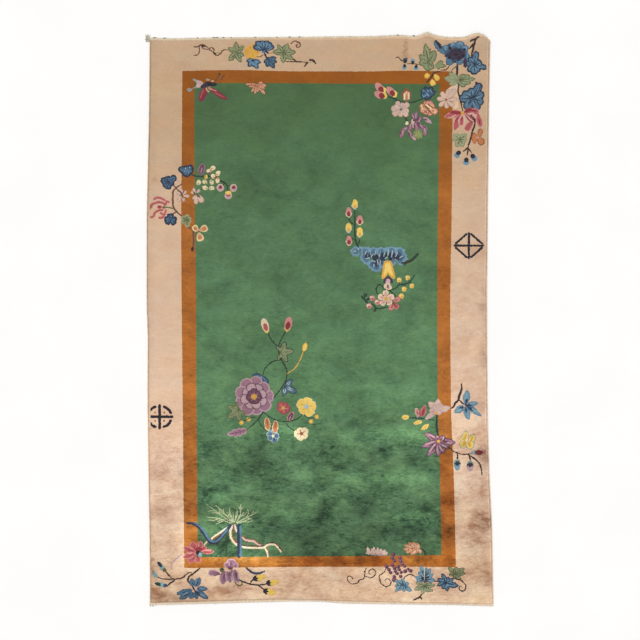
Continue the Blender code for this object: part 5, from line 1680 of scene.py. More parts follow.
def wool_pile():
    """The knotted pile: a shorn top cut along the chart, and its sloping rim."""
    drawn = chart_outlines(0.0)
    shapes = [s[0] for s in drawn]
    edges = pile_loops(5.2, [row[0] for row in PILE_EDGE])
    # Points just outside each motif, where its furrow runs out.
    around = np.vstack([inset(p, -FURROW_OUT)[::2] for p in shapes[GROUNDS:]])
    every = np.vstack(shapes)
    around = around[well_inside(around[:, 0], around[:, 1], 11.0)]
    around = around[clear_of(around, np.vstack(shapes[GROUNDS:]), 1.35)]
    around = around[topmost(around, shapes) < GROUNDS]
    around = thinned(around, 3.4)
    loose = hexagonal(GRID, 0.28 * GRID)
    loose = loose[well_inside(loose[:, 0], loose[:, 1], 10.5)]
    loose = loose[clear_of(loose, np.vstack([every, around]), 6.0)]
    flat, tris = triangulated(edges[0], shapes, np.vstack([around, loose]))
    on_top = topmost(flat[tris].mean(1), shapes)
    # Furrows, where two colours meet.
    depth_of = np.array([0.0] + [s[2] for s in drawn])[on_top + 1]
    rank = np.where(on_top < GROUNDS, on_top, 9)
    low = np.full(len(flat), 99)
    high = np.full(len(flat), -99)
    deep = np.zeros(len(flat))
    shape_low = np.full(len(flat), 10**6)
    shape_high = np.full(len(flat), -1)
    for k in range(3):
        np.minimum.at(low, tris[:, k], rank)
        np.maximum.at(high, tris[:, k], rank)
        np.maximum.at(deep, tris[:, k], depth_of)
        np.minimum.at(shape_low, tris[:, k], on_top + 1)
        np.maximum.at(shape_high, tris[:, k], on_top + 1)
    meets = shape_low != shape_high
    furrow = np.where(meets, deep * 0.9, 0.0)
    furrow = np.where(meets & (low != high) & (high == 9), np.maximum(furrow, 0.35 + 1.1 * deep), furrow)
    rim = rim_loop(tris)
    if len(rim) != len(edges[0]):
        raise RuntimeError("the pile's open edge has lost points")
    rim = np.roll(rim, -int(np.argmin(np.hypot(*(flat[rim] - edges[0][0]).T))))
    x, y = flat.T
    # The shearing left the nap a little uneven.
    nap = 0.22 * np.sin(x / 61 + 1.7 * np.sin(y / 143)) * np.sin(y / 37 + 1.3 * np.sin(x / 97))
    nap = nap + rng.normal(0, 0.12, len(flat))
    height = THICK + nap - furrow
    height[rim] = PILE_EDGE[0][1]
    verts = [np.column_stack([flat, height + lift(x, y)])]
    faces = [tris]
    # The rim, ring under ring, from the top's open edge outwards and down.
    n = len(rim)
    ring_ids = rim
    total = len(flat)
    rings = [rim]
    shake = np.convolve(np.r_[rng.normal(0, 1, n)], (0.3, 0.4, 0.3), "same")
    for (by, high_at), p in zip(PILE_EDGE[1:], edges[1:]):
        p = p + (rng.normal(0, 0.22, p.shape) if by < 2.0 and high_at > 4 else 0.0)
        z = high_at + lift(p[:, 0], p[:, 1]) + (0.2 * shake if high_at > FOUNDATION else 0.0)
        ids = np.arange(total, total + n)
        verts.append(np.column_stack([p, z]))
        a, b = ring_ids, np.roll(ring_ids, -1)
        c, d = np.roll(ids, -1), ids
        faces.append(np.column_stack([d, c, b]))
        faces.append(np.column_stack([d, b, a]))
        rings.append(ids)
        ring_ids = ids
        total += n
    # The underside, hidden by the woven back.
    last = verts[-1][:, :2]
    loose = hexagonal(46.0, 4.0)
    slack = lift(loose[:, 0], loose[:, 1]) > 0
    fine = hexagonal(14.0, 1.0)
    fine = fine[lift(fine[:, 0], fine[:, 1]) > 0]
    loose = np.vstack([loose[~slack], fine])
    loose = loose[well_inside(loose[:, 0], loose[:, 1], 9.0)]
    under, under_tris = triangulated(last, [], loose)
    under_rim = rim_loop(under_tris)
    if len(under_rim) != n:
        raise RuntimeError("the underside's edge has lost points")
    # Its edge is the last ring: the same points, in the same order.
    first = int(np.argmin(np.hypot(*(under[under_rim] - last[0]).T)))
    under_rim = np.roll(under_rim, -first)
    ids = np.empty(len(under), int)
    inner = np.setdiff1d(np.arange(len(under)), under_rim)
    ids[under_rim] = ring_ids
    ids[inner] = np.arange(total, total + len(inner))
    z = PILE_EDGE[-1][1] + lift(under[inner, 0], under[inner, 1])
    verts.append(np.column_stack([under[inner], z]))
    faces.append(ids[under_tris][:, ::-1])
    verts, count = np.vstack(verts), [len(f) for f in faces]
    mesh = new_mesh("wool_pile", verts, np.vstack(faces))
    # Colours: the chart on top, tan at the rim and below.
    top, top_worn_nap_shade, top_soil, top_shade_lean = dyed(flat, tris, on_top, drawn)
    below = np.vstack(faces[1:]).ravel()
    col = verts[below, 0] / SQUARE + CHART_X
    row = CHART_Y - verts[below, 1] / SQUARE
    # The rim is painted lighter towards the right side, 0.96 to 1.11: painted light. It also takes the tan's painted
    # light and shade along the rug.
    rim_tan_painted_light = linear(np.clip(np.array(YARNS["tan"], float) * np.interp(col, (200, 440), (0.96, 1.11))[:, None] * tone("tan", col, row), 0, 255))
    give(mesh, "yarn", "FLOAT_COLOR", "CORNER", np.vstack([top, rim_tan_painted_light]))
    give(mesh, "worn_nap_shade", "FLOAT", "CORNER", np.concatenate([top_worn_nap_shade, worn_nap_shade_at("tan", col, row)]))
    give(mesh, "soil", "FLOAT", "CORNER", np.concatenate([top_soil, patched(col, row)[1]]))
    give(mesh, "lean", "FLOAT", "CORNER", np.concatenate([top_shade_lean, np.full(len(col), SHADE_LEAN["tan"])]))
    # The map for bakes: the top as it lies, the rim as four strips beside it.
    uv = across_map(verts[np.vstack(faces).ravel()], 0.004, 0.9)
    drop = np.zeros(len(verts))
    for k, ids_here in enumerate(rings):
        drop[ids_here] = k / (len(rings) - 1)
    layer = mesh.uv_layers.new(name="OFBake")
    start = 3 * len(tris)
    stop = start + 3 * sum(count[1:-1])
    c = verts[below[: stop - start]].reshape(-1, 3, 3)
    mid = c.mean(1)
    lies = np.stack(
        [
            mid[:, 0] - side("left", mid[:, 1]),
            side("right", mid[:, 1]) - mid[:, 0],
            mid[:, 1] - near("pile_edge", mid[:, 0]),
            far("pile_edge", mid[:, 0]) - mid[:, 1],
        ],
        1,
    ).argmin(1)
    lies = np.repeat(lies, 3)
    place = c.reshape(-1, 3)
    along = np.where(lies < 2, place[:, 1] / (2 * HALF_LONG), place[:, 0] / (2 * HALF_WIDE)) + 0.5
    uv[start:stop, 0] = 0.908 + 0.018 * lies + 0.014 * drop[below[: stop - start]]
    uv[start:stop, 1] = 0.006 + 0.988 * along
    under_at = verts[below[stop - start :]]
    uv[stop:, 0] = 0.982 + 0.014 * (under_at[:, 0] / (2 * HALF_WIDE) + 0.5)
    uv[stop:, 1] = 0.006 + 0.988 * (under_at[:, 1] / (2 * HALF_LONG) + 0.5)
    layer.uv.foreach_set("vector", uv.astype(np.float32).ravel())
    print(f"pile: {len(verts)} points, {len(mesh.polygons)} triangles, top {len(tris)}, around {len(around)}")
    return mesh


def woven_back():
    """The back: the same chart seen through the weave, and a hidden upper side."""
    drawn = chart_outlines(0.35)
    shapes = [s[0] for s in drawn]
    loop = pile_loops(7.0, (1.6,))[0]
    loose = hexagonal(24.0, 5.0)
    loose = loose[well_inside(loose[:, 0], loose[:, 1], 9.0)]
    loose = loose[clear_of(loose, np.vstack(shapes), 8.0)]
    flat, tris = triangulated(loop, shapes, loose)
    on_top = topmost(flat[tris].mean(1), shapes)
    rim = rim_loop(tris)
    # The back takes the top's colours with their painted light and shade, a little greyed.
    colours, *_ = dyed(flat, tris, on_top, drawn, 0.12)
    lower = np.column_stack([flat, lift(flat[:, 0], flat[:, 1])])
    edge = flat[rim]
    upper_edge = np.column_stack([edge, 1.0 + lift(edge[:, 0], edge[:, 1])])
    n, total = len(rim), len(flat)
    ids = np.arange(total, total + n)
    a, b, c, d = rim, np.roll(rim, -1), np.roll(ids, -1), ids
    wall = np.vstack([np.column_stack([a, b, c]), np.column_stack([a, c, d])])
    loose = hexagonal(60.0, 5.0)
    slack = hexagonal(18.0, 1.0)
    loose = np.vstack([loose[lift(loose[:, 0], loose[:, 1]) <= 0], slack[lift(slack[:, 0], slack[:, 1]) > 0]])
    loose = loose[well_inside(loose[:, 0], loose[:, 1], 10.0)]
    over, over_tris = triangulated(edge, [], loose)
    over_rim = rim_loop(over_tris)
    if len(over_rim) != n:
        raise RuntimeError("the back's edge has lost points")
    first = int(np.argmin(np.hypot(*(over[over_rim] - edge[0]).T)))
    over_rim = np.roll(over_rim, -first)
    inner = np.setdiff1d(np.arange(len(over)), over_rim)
    over_ids = np.empty(len(over), int)
    over_ids[over_rim] = ids
    over_ids[inner] = np.arange(total + n, total + n + len(inner))
    upper = np.column_stack([over[inner], 1.0 + lift(over[inner, 0], over[inner, 1])])
    verts = np.vstack([lower, upper_edge, upper])
    hidden = over_ids[over_tris]
    every = np.vstack([tris[:, ::-1], wall, hidden])
    mesh = new_mesh("foundation_back", verts, every)
    cotton = linear((222, 206, 178))
    rest = np.tile(cotton, (3 * (len(wall) + len(hidden)), 1))
    colours = colours.reshape(-1, 3, 3)[:, ::-1].reshape(-1, 3)
    give(mesh, "yarn", "FLOAT_COLOR", "CORNER", np.vstack([colours, rest]))
    uv = across_map(verts[every.ravel()], 0.004, 0.9)
    start, stop = 3 * len(tris), 3 * (len(tris) + len(wall))
    part = np.concatenate([np.arange(n), np.arange(n)])
    nxt = part + 1
    along = np.concatenate(
        [np.column_stack([part[:n], nxt[:n], nxt[:n]]), np.column_stack([part[n:], nxt[n:], part[n:]])]
    ).ravel() / n
    height = np.concatenate([np.tile([0, 0, 1], (n, 1)), np.tile([0, 1, 1], (n, 1))]).ravel()
    uv[start:stop, 0] = 0.91 + 0.05 * height
    uv[start:stop, 1] = 0.006 + 0.988 * along
    top = verts[every.ravel()[stop:]]
    uv[stop:, 0] = 0.968 + 0.028 * (top[:, 0] / (2 * HALF_WIDE) + 0.5)
    mesh.uv_layers.new(name="OFBake").uv.foreach_set("vector", uv.astype(np.float32).ravel())
    print(f"back: {len(verts)} points, {len(every)} triangles")
    return mesh


# ---------------------------------------------------------------- webs, cords, ends
# Each web's second tint, at its outer edge, is greyer: painted shade.
FAR_WEB = ((228, 211, 182), (216, 210, 197))  # near the pile, and at its outer edge
NEAR_WEB = ((251, 227, 199), (230, 212, 190))
OVERCAST = (226, 199, 171)
WEFT = 3.2  # the end webs' warps stand this far apart
WRAP = 3.9  # and the yarn over the sides goes round once in this length


def rod(name, rings, colours):
    """A closed tube through rings of points, its map folded into rows."""
    rings = np.asarray(rings, float)
    n, k, _ = rings.shape
    verts = np.vstack([rings.reshape(-1, 3), rings[0].mean(0), rings[-1].mean(0)])
    i, j = (g.ravel() for g in np.meshgrid(np.arange(n - 1), np.arange(k), indexing="ij"))
    after = (j + 1) % k
    a, b, c, d = i * k + j, i * k + after, (i + 1) * k + after, (i + 1) * k + j
    js = np.arange(k)
    near_cap = np.column_stack([np.full(k, n * k), (js + 1) % k, js])
    far_cap = np.column_stack([np.full(k, n * k + 1), (n - 1) * k + js, (n - 1) * k + (js + 1) % k])
    tris = np.vstack([np.column_stack([a, b, c]), np.column_stack([a, c, d]), near_cap, far_cap])
    # The map: rows of equal length, read along the tube.
    around = np.hypot(*np.diff(np.vstack([rings[n // 2], rings[n // 2][:1]]), axis=0)[:, 1:].T).sum()
    around = max(around, np.linalg.norm(np.diff(np.vstack([rings[n // 2], rings[n // 2][:1]]), axis=0), axis=1).sum())
    length = np.linalg.norm(rings[-1].mean(0) - rings[0].mean(0))
    rows = max(int(round(math.sqrt(length / around))), 1)
    per = -(-(n - 1) // rows)
    row = i // per

    def spot_at(ii, jj):
        u = 0.01 + 0.98 * (ii - row * per) / per
        v = 0.95 * (row + 0.05 + 0.9 * jj / k) / rows
        return np.column_stack([u, v])

    pa, pb, pc, pd = spot_at(i, j), spot_at(i, j + 1), spot_at(i + 1, j + 1), spot_at(i + 1, j)
    uv = [np.stack([pa, pb, pc], 1), np.stack([pa, pc, pd], 1)]
    for x, flip in ((0.1, True), (0.3, False)):
        t = 2 * np.pi * js / k
        t2 = 2 * np.pi * (js + 1) / k
        one = np.column_stack([x + 0.02 * np.cos(t), 0.975 + 0.02 * np.sin(t)])
        two = np.column_stack([x + 0.02 * np.cos(t2), 0.975 + 0.02 * np.sin(t2)])
        mid = np.tile([x, 0.975], (k, 1))
        uv.append(np.stack([mid, two, one] if flip else [mid, one, two], 1))
    uv = np.vstack(uv)
    p = verts[tris]
    if np.einsum("ij,ij->i", p[:, 0], np.cross(p[:, 1], p[:, 2])).sum() < 0:
        tris, uv = tris[:, ::-1], uv[:, ::-1]
    mesh = new_mesh(name, verts, tris)
    colours = np.repeat(np.asarray(colours, float).reshape(n, -1, 3), k // (np.asarray(colours).size // (3 * n)), 1)
    flat_colours = np.vstack([colours.reshape(-1, 3), colours[0, :1].reshape(1, 3), colours[-1, :1].reshape(1, 3)])
    give(mesh, "yarn", "FLOAT_COLOR", "POINT", linear(np.clip(flat_colours, 0, 255)))
    mesh.uv_layers.new(name="OFBake").uv.foreach_set("vector", uv.reshape(-1, 2).astype(np.float32).ravel())
    print(f"{name}: {len(verts)} points, {len(tris)} triangles")
    return mesh


def smoothed(values, times):
    for _ in range(times):
        values = np.convolve(np.r_[values[0], values, values[-1]], (0.25, 0.5, 0.25), "valid")
    return values


def web_edges(edge_of, sign, start, tail, x):
    """Where a web's two edges run, drawn together along its tail."""
    inner = edge_of("pile_edge", x) + sign * GAP
    outer = edge_of("web_edge", x)
    outer = sign * np.maximum(sign * outer, sign * inner + 3.0)
    if tail:
        part = np.clip((x - start) / tail, 0, 1)
        middle = (outer + inner) / 2
        outer = middle + (outer - middle) * (0.35 + 0.65 * part)
        inner = middle + (inner - middle) * (0.35 + 0.65 * part)
    return inner, outer


def end_web(name, edge_of, sign, start, stop, tail, tints):
    """Plain weave past the pile: wefts beaten down over the warps."""
    x = np.arange(start, stop, WEFT / 2)
    inner, outer = web_edges(edge_of, sign, start, tail, x)
    outer = outer + sign * np.clip(smoothed(rng.normal(0, 1.6, len(x)), 3), -0.9, 0.9)
    t = np.r_[0.0, np.linspace(0.03, 0.97, 14), 1.0]
    across = inner[:, None] + (outer - inner)[:, None] * t
    crown = np.sqrt(np.clip(1 - np.abs(2 * t - 1) ** 5, 0, 1))
    weave = np.sin(np.pi * (np.arange(len(x))[:, None] + 0.5)) * np.cos(np.pi * t * 7.5)[None, :]
    loose = smoothed(rng.normal(0, 1, len(x)), 6)[:, None]
    high = 0.35 + (WEB_THICK - 0.75) * crown[None, :] + 0.36 * weave * crown[None, :] + 0.25 * loose * t[None, :]
    up = lift(np.repeat(x[:, None], len(t), 1), across)
    top = np.stack([np.repeat(x[:, None], len(t), 1), across, up + np.clip(high, 0.2, None)], -1)
    below = across[:, [12, 8, 3]]
    low = np.stack([np.repeat(x[:, None], 3, 1), below, lift(np.repeat(x[:, None], 3, 1), below)], -1)
    rings = np.concatenate([top, low], 1)
    near_pile, edge_tint_painted_shade = (np.array(c, float) for c in tints)
    share = np.r_[t, 0.9, 0.5, 0.1][None, :, None] ** 2.2
    shade = 1 + 0.035 * smoothed(rng.normal(0, 1, len(x)), 2)[:, None, None]
    # Towards the outer edge and underneath, the colour turns to the greyer outer tint: painted shade.
    colours = (near_pile + (edge_tint_painted_shade - near_pile) * share) * shade
    return rod(name, rings, colours)


def side_cord(name, which, sign):
    """Wool yarn wound over the outermost warps."""
    corner = -GAP - CORD_WIDE if sign > 0 else GAP + CORD_WIDE
    ends_at = []
    for edge_of, y in ((near, -HALF_LONG), (far, HALF_LONG)):
        for _ in range(8):
            y = float(edge_of("pile_edge", side(which, y) + corner))
        ends_at.append(y)
    turns = int((ends_at[1] - ends_at[0]) / WRAP)
    part = np.array([0.0, 0.22, 0.5, 0.78])
    full = np.array([0.86, 0.97, 1.0, 0.97])
    at = (np.arange(turns)[:, None] + part).ravel() * (ends_at[1] - ends_at[0]) / turns + ends_at[0]
    plump = np.repeat(1 + 0.02 * rng.normal(0, 1, turns), 4)
    grow = np.tile(full, turns) * np.clip(plump, 0.94, 1.0)
    grow[0] = grow[-1] = 0.5
    angle = 2 * np.pi * (np.arange(10) + 0.5) / 10
    y = at[:, None] + 0.9 * np.cos(angle)[None, :] * sign
    y = np.clip(y, ends_at[0], ends_at[1])
    mid = side(which, at)[:, None] - sign * CORD_WIDE / 2
    x = mid + CORD_WIDE / 2 * grow[:, None] * np.cos(angle)
    z = CORD_HIGH / 2 + CORD_HIGH / 2 * grow[:, None] * np.sin(angle) + lift(mid, at[:, None])
    rings = np.stack([x, y, z], -1)
    batch = smoothed(rng.normal(0, 0.05, turns), 1) + 0.03 * np.sin(np.arange(turns) / 23.0)
    # Each wrap is painted dark, 0.86, where it dips into the next: painted shade in the groove.
    shade = np.repeat(1 + batch, 4) * np.tile([0.86, 1.0, 1.02, 1.0], turns)
    row = CHART_Y - at / SQUARE
    # The cords take the tan's painted light and shade along the rug.
    tan = tone("tan", np.full(len(at), 150.0 if sign < 0 else 488.0), row)
    colours = np.array(OVERCAST, float) * tan / tan.mean(0) * shade[:, None]
    return rod(name, rings, colours[:, None, :])


def strands(name, lines, thick, colours, sides=5):
    """Loose yarns: each line of points becomes a thin tapering tube."""
    lines = np.asarray(lines, float)
    count, n, _ = lines.shape
    along = np.gradient(lines, axis=1)
    along /= np.maximum(np.linalg.norm(along, axis=2, keepdims=True), 1e-9)
    sideways = np.cross(along, (0.0, 0.0, 1.0))
    sideways /= np.maximum(np.linalg.norm(sideways, axis=2, keepdims=True), 1e-9)
    upwards = np.cross(sideways, along)
    taper = np.interp(np.linspace(0, 1, n), [0, 0.15, 0.75, 1], [0.6, 1, 0.95, 0.45])
    r = np.asarray(thick, float)[:, None, None, None] / 2 * taper[None, :, None, None]
    a = 2 * np.pi * np.arange(sides) / sides
    ring = r * (np.cos(a)[None, None, :, None] * sideways[:, :, None] + np.sin(a)[None, None, :, None] * upwards[:, :, None])
    verts = (lines[:, :, None] + ring).reshape(count, -1, 3)
    tips = lines[:, [0, -1]]
    verts = np.concatenate([verts, tips], 1)
    verts[:, :, 2] = np.maximum(verts[:, :, 2], 0.05)
    i, j = (g.ravel() for g in np.meshgrid(np.arange(n - 1), np.arange(sides), indexing="ij"))
    nx = (j + 1) % sides
    a_, b_, c_, d_ = i * sides + j, i * sides + nx, (i + 1) * sides + nx, (i + 1) * sides + j
    js = np.arange(sides)
    low = np.column_stack([np.full(sides, n * sides), (js + 1) % sides, js])
    high = np.column_stack([np.full(sides, n * sides + 1), (n - 1) * sides + js, (n - 1) * sides + (js + 1) % sides])
    one = np.vstack([np.column_stack([a_, b_, c_]), np.column_stack([a_, c_, d_]), low, high])

    def cell(ii, jj):
        return np.column_stack([0.06 + 0.7 * ii / (n - 1), 0.06 + 0.88 * jj / sides])

    pa, pb, pc, pd = cell(i, j), cell(i, j + 1), cell(i + 1, j + 1), cell(i + 1, j)
    uv = [np.stack([pa, pb, pc], 1), np.stack([pa, pc, pd], 1)]
    for v, flip in ((0.28, True), (0.72, False)):
        t, t2 = 2 * np.pi * js / sides, 2 * np.pi * (js + 1) / sides
        p1 = np.column_stack([0.88 + 0.08 * np.cos(t), v + 0.18 * np.sin(t)])
        p2 = np.column_stack([0.88 + 0.08 * np.cos(t2), v + 0.18 * np.sin(t2)])
        mid = np.tile([0.88, v], (sides, 1))
        uv.append(np.stack([mid, p2, p1] if flip else [mid, p1, p2], 1))
    uv = np.vstack(uv)
    p = verts[0][one]
    centred = p - verts[0].mean(0)
    if np.einsum("ij,ij->i", centred[:, 0], np.cross(centred[:, 1], centred[:, 2])).sum() < 0:
        one, uv = one[:, ::-1], uv[:, ::-1]
    per = n * sides + 2
    tris = (one[None] + per * np.arange(count)[:, None, None]).reshape(-1, 3)
    grid = int(math.ceil(math.sqrt(count)))
    k = np.arange(count)
    corner = np.column_stack([k % grid, k // grid])[:, None, None, :]
    uv = (corner + uv[None]) / grid
    mesh = new_mesh(name, verts.reshape(-1, 3), tris)
    give(mesh, "yarn", "FLOAT_COLOR", "POINT", linear(np.clip(np.repeat(np.asarray(colours, float), per, 0), 0, 255)))
    mesh.uv_layers.new(name="OFBake").uv.foreach_set("vector", uv.reshape(-1, 2).astype(np.float32).ravel())
    print(f"{name}: {len(mesh.vertices)} points, {len(tris)} triangles")
    return mesh


def bowed(start, turn, long, bow, rise, points=7):
    """A loose end from start: its heading, length, sideways bow and rise at its tip."""
    t = np.linspace(0, 1, points)
    dx, dy = math.sin(math.radians(turn)), math.cos(math.radians(turn))
    x = start[0] + long * (t * dx + bow * t * t * dy)
    y = start[1] + long * (t * dy - bow * t * t * dx)
    z = start[2] + rise * np.sin(np.pi * np.clip(t * 1.1, 0, 1)) * 0.6 + rise * 0.4 * t
    return np.stack([x, y, np.maximum(z, 0.45)], 1)


TUFT_COLUMNS = ("column", "row", "turn", "long", "count", "thick", "spread", "tone")
TUFTS = [
    # heading: 0 is +Y, 90 is +X; the first four make the knot of warps at one corner
    (149.6, 40.2, -46.0, 22.0, 9, 2.6, 8.0, 0.88),
    (147.8, 38.8, -14.0, 17.0, 8, 2.4, 12.0, 0.84),
    (146.4, 37.2, 22.0, 18.0, 6, 2.3, 9.0, 0.82),
    (146.2, 38.2, 168.0, 14.0, 5, 2.2, 12.0, 0.8),
    (149.9, 605.2, 182.0, 10.0, 4, 1.5, 8.0, 0.9),
    (152.6, 605.2, 176.0, 9.0, 4, 1.4, 9.0, 0.86),
    (492.4, 605.6, 168.0, 6.0, 5, 1.2, 16.0, 0.98),
]


def warp_ends():
    """Cut warp ends along both webs, and the loose tufts at the corners."""
    lines, thick, colours = [], [], []
    for edge_of, sign, start, stop, tail, tints in (
        (far, 1, -HALF_WIDE, 737.0, 26.0, FAR_WEB),
        (near, -1, -746.0, HALF_WIDE, 0.0, NEAR_WEB),
    ):
        x = np.arange(start + 6, stop - 4, 4.6)
        x = x + rng.uniform(-1.8, 1.8, len(x))
        _, outer = web_edges(edge_of, sign, start, tail, x)
        for px, py in zip(x, outer):
            if rng.random() < 0.2:
                continue
            long = 2.2 + 4.0 * rng.random() ** 2.2
            turn = (0 if sign > 0 else 180) + rng.normal(0, 26)
            z = float(lift(px, py)) + rng.uniform(0.7, 1.7)
            lines.append(bowed((px, py - sign * 1.2, z), turn, long, rng.normal(0, 0.3), rng.uniform(-0.8, 0.5)))
            thick.append(rng.uniform(0.55, 0.95))
            tone_of = rng.uniform(0.93, 1.03)
            colours.append(np.array(tints[0 if rng.random() < 0.5 else 1], float) * tone_of)
    for col, row, turn, long, count, wide, spread, light in TUFTS:
        x, y = (col - CHART_X) * SQUARE, (CHART_Y - row) * SQUARE
        for k in range(int(count)):
            side_step = (k - (count - 1) / 2) * wide * 0.8
            a = math.radians(turn)
            px, py = x + side_step * math.cos(a), y - side_step * math.sin(a)
            z = 1.0 + 0.9 * (k % 2) + float(lift(px, py))
            lines.append(
                bowed((px, py, z), turn + rng.normal(0, spread), long * rng.uniform(0.75, 1.1), rng.normal(0, 0.18), rng.uniform(-0.4, 1.0))
            )
            thick.append(wide * rng.uniform(0.85, 1.1))
            colours.append(np.array((240, 230, 210), float) * light * rng.uniform(0.94, 1.03))
    return strands("warp_ends", lines, thick, colours)


DARK_MARK_COLUMNS = ("column", "long", "darkness")
DARK_MARKS = [
    (154.6, 3.6, 1.0),
    (164.0, 2.8, 0.7),
    (197.2, 2.2, 0.45),
    (213.8, 3.2, 0.95),
    (217.0, 2.4, 0.7),
    (223.4, 1.8, 0.5),
    (231.0, 1.8, 0.4),
    (255.0, 2.2, 0.5),
    (277.0, 2.0, 0.5),
    (289.5, 2.4, 0.75),
    (299.5, 2.2, 0.7),
    (398.0, 2.4, 0.7),
    (414.0, 2.6, 0.8),
]


def end_dark_marks():
    """Short dark strands along the far web's outer edge."""
    lines, thick, colours = [], [], []
    for col, long, dark in DARK_MARKS:
        for k in range(3):
            x = (col - CHART_X) * SQUARE + rng.uniform(-2, 2)
            _, y = web_edges(far, 1, -HALF_WIDE, 26.0, np.array([x]))
            y = float(y[0]) - 0.6 - 1.1 * k * 0.8
            z = float(lift(x, y)) + WEB_THICK - 0.1 + 0.2 * k
            reach = long * SQUARE * rng.uniform(0.7, 1.0)
            start = (x - reach / 2, y, z)
            lines.append(bowed(start, 90 + rng.normal(0, 5), reach, rng.normal(0, 0.06), 0.5))
            thick.append(1.5 + 0.3 * rng.random())
            tint = np.array((186, 168, 138), float) * (1 - dark) + np.array((84, 66, 50), float) * dark
            colours.append(tint * rng.uniform(0.92, 1.08))
    return strands("end_dark_marks", lines, thick, colours)


# ---------------------------------------------------------------- materials
class Nodes:
    """A short way to write a material's nodes."""

    def __init__(self, name):
        self.material = bpy.data.materials.new(name)
        self.material.use_nodes = True
        self.tree = self.material.node_tree
        self.shader = self.tree.nodes["Principled BSDF"]

    def link(self, out, to):
        self.tree.links.new(out, to)

    def set(self, socket, value):
        if hasattr(value, "is_output"):
            self.link(value, socket)
        else:
            socket.default_value = value

    def add(self, kind, **settings):
        node = self.tree.nodes.new(kind)
        for key, value in settings.items():
            setattr(node, key, value)
        return node

    def place(self, scale, turn=(0, 0, 0)):
        at = self.add("ShaderNodeTexCoord").outputs["Object"]
        node = self.add("ShaderNodeMapping")
        self.link(at, node.inputs["Vector"])
        node.inputs["Scale"].default_value = scale
        node.inputs["Rotation"].default_value = turn
        return node.outputs["Vector"]

    def noise(self, scale, detail=2.0, rough=0.5, twist=0.0, turn=(0, 0, 0)):
        node = self.add("ShaderNodeTexNoise")
        self.link(self.place(scale, turn), node.inputs["Vector"])
        node.inputs["Scale"].default_value = 1.0
        node.inputs["Detail"].default_value = detail
        node.inputs["Roughness"].default_value = rough
        node.inputs["Distortion"].default_value = twist
        return node.outputs["Fac"]

    def cells(self, scale, out="Color", even=1.0):
        node = self.add("ShaderNodeTexVoronoi")
        self.link(self.place(scale), node.inputs["Vector"])
        node.inputs["Scale"].default_value = 1.0
        node.inputs["Randomness"].default_value = even
        return node.outputs[out]

    def attribute(self, name, out="Color"):
        return self.add("ShaderNodeAttribute", attribute_name=name).outputs[out]

    def math(self, op, a, b=0.0, c=0.0):
        node = self.add("ShaderNodeMath", operation=op)
        for socket, value in zip(node.inputs, (a, b, c)):
            self.set(socket, value)
        return node.outputs[0]

    def ranged(self, value, low, high, to_low, to_high, soft=False):
        node = self.add("ShaderNodeMapRange", interpolation_type="SMOOTHSTEP" if soft else "LINEAR")
        for socket, v in zip(node.inputs, (value, low, high, to_low, to_high)):
            self.set(socket, v)
        return node.outputs[0]

    def scaled(self, colour, by):
        node = self.add("ShaderNodeVectorMath", operation="SCALE")
        self.set(node.inputs[0], colour)
        self.set(node.inputs["Scale"], by)
        return node.outputs[0]

    def mixed(self, share, a, b, blend="MIX"):
        node = self.add("ShaderNodeMix", data_type="RGBA", blend_type=blend)
        self.set(node.inputs[0], share)
        self.set(node.inputs[6], a)
        self.set(node.inputs[7], b)
        return node.outputs[2]

    def bump(self, height, distance, strength=1.0, under=None):
        node = self.add("ShaderNodeBump")
        self.set(node.inputs["Height"], height)
        node.inputs["Distance"].default_value = distance
        node.inputs["Strength"].default_value = strength
        if under is not None:
            self.link(under, node.inputs["Normal"])
        return node.outputs["Normal"]

    def finish(self, colour, roughness, normal, specular=0.25, sheen=0.0, sheen_rough=0.5):
        inputs = self.shader.inputs
        self.set(inputs["Base Color"], colour)
        self.set(inputs["Roughness"], roughness)
        self.link(normal, inputs["Normal"])
        inputs["Specular IOR Level"].default_value = specular
        inputs["Sheen Weight"].default_value = sheen
        inputs["Sheen Roughness"].default_value = sheen_rough
        return self.material


def nap(n, worn_nap_shade, lean):
    """Painted light and shade of the nap: the pile lies over in places and stands up in others, and the light it
    catches there is painted into its colour.
    """
    broad = n.noise((6.0, 8.5, 6), 3, 0.6, 0.5)
    middle = n.noise((19, 30, 10), 4, 0.66, 0.8)
    fine = n.noise((64, 150, 20), 4, 0.7, 0.3)
    total = n.math("MULTIPLY_ADD", n.math("SUBTRACT", broad, 0.5), 2.6, 0.0)
    total = n.math("MULTIPLY_ADD", n.math("SUBTRACT", middle, 0.5), 1.6, total)
    total = n.math("MULTIPLY_ADD", n.math("SUBTRACT", fine, 0.5), 1.75, total)
    # Painted dark streaks along the wefts, and painted shade in hollow places where it is trodden flat.
    painted_weft_streaks = n.ranged(n.noise((15, 95, 8), 3, 0.62, 0.4), 0.56, 0.74, 0.0, -0.42, True)
    painted_hollow_shade = n.ranged(n.noise((21, 33, 9), 4, 0.7, 1.2), 0.55, 0.74, 0.0, -0.5, True)
    total = n.math("ADD", total, n.math("ADD", painted_weft_streaks, painted_hollow_shade))
    share = n.math("MULTIPLY_ADD", total, worn_nap_shade, 1.0)
    line = n.math("SUBTRACT", n.noise((9, 230, 8), 2, 0.5), 0.5)
    share = n.math("MULTIPLY_ADD", n.math("MULTIPLY", line, n.math("MULTIPLY_ADD", worn_nap_shade, 0.09, 0.06)), 1.0, share)
    share = n.math("MAXIMUM", share, 0.28)
    tints = n.add("ShaderNodeCombineColor")
    n.link(n.math("POWER", share, n.math("ADD", lean, 1.0)), tints.inputs[0])
    n.link(share, tints.inputs[1])
    n.link(n.math("POWER", share, n.math("MULTIPLY_ADD", lean, -0.3, 1.0)), tints.inputs[2])
    return tints.outputs[0]


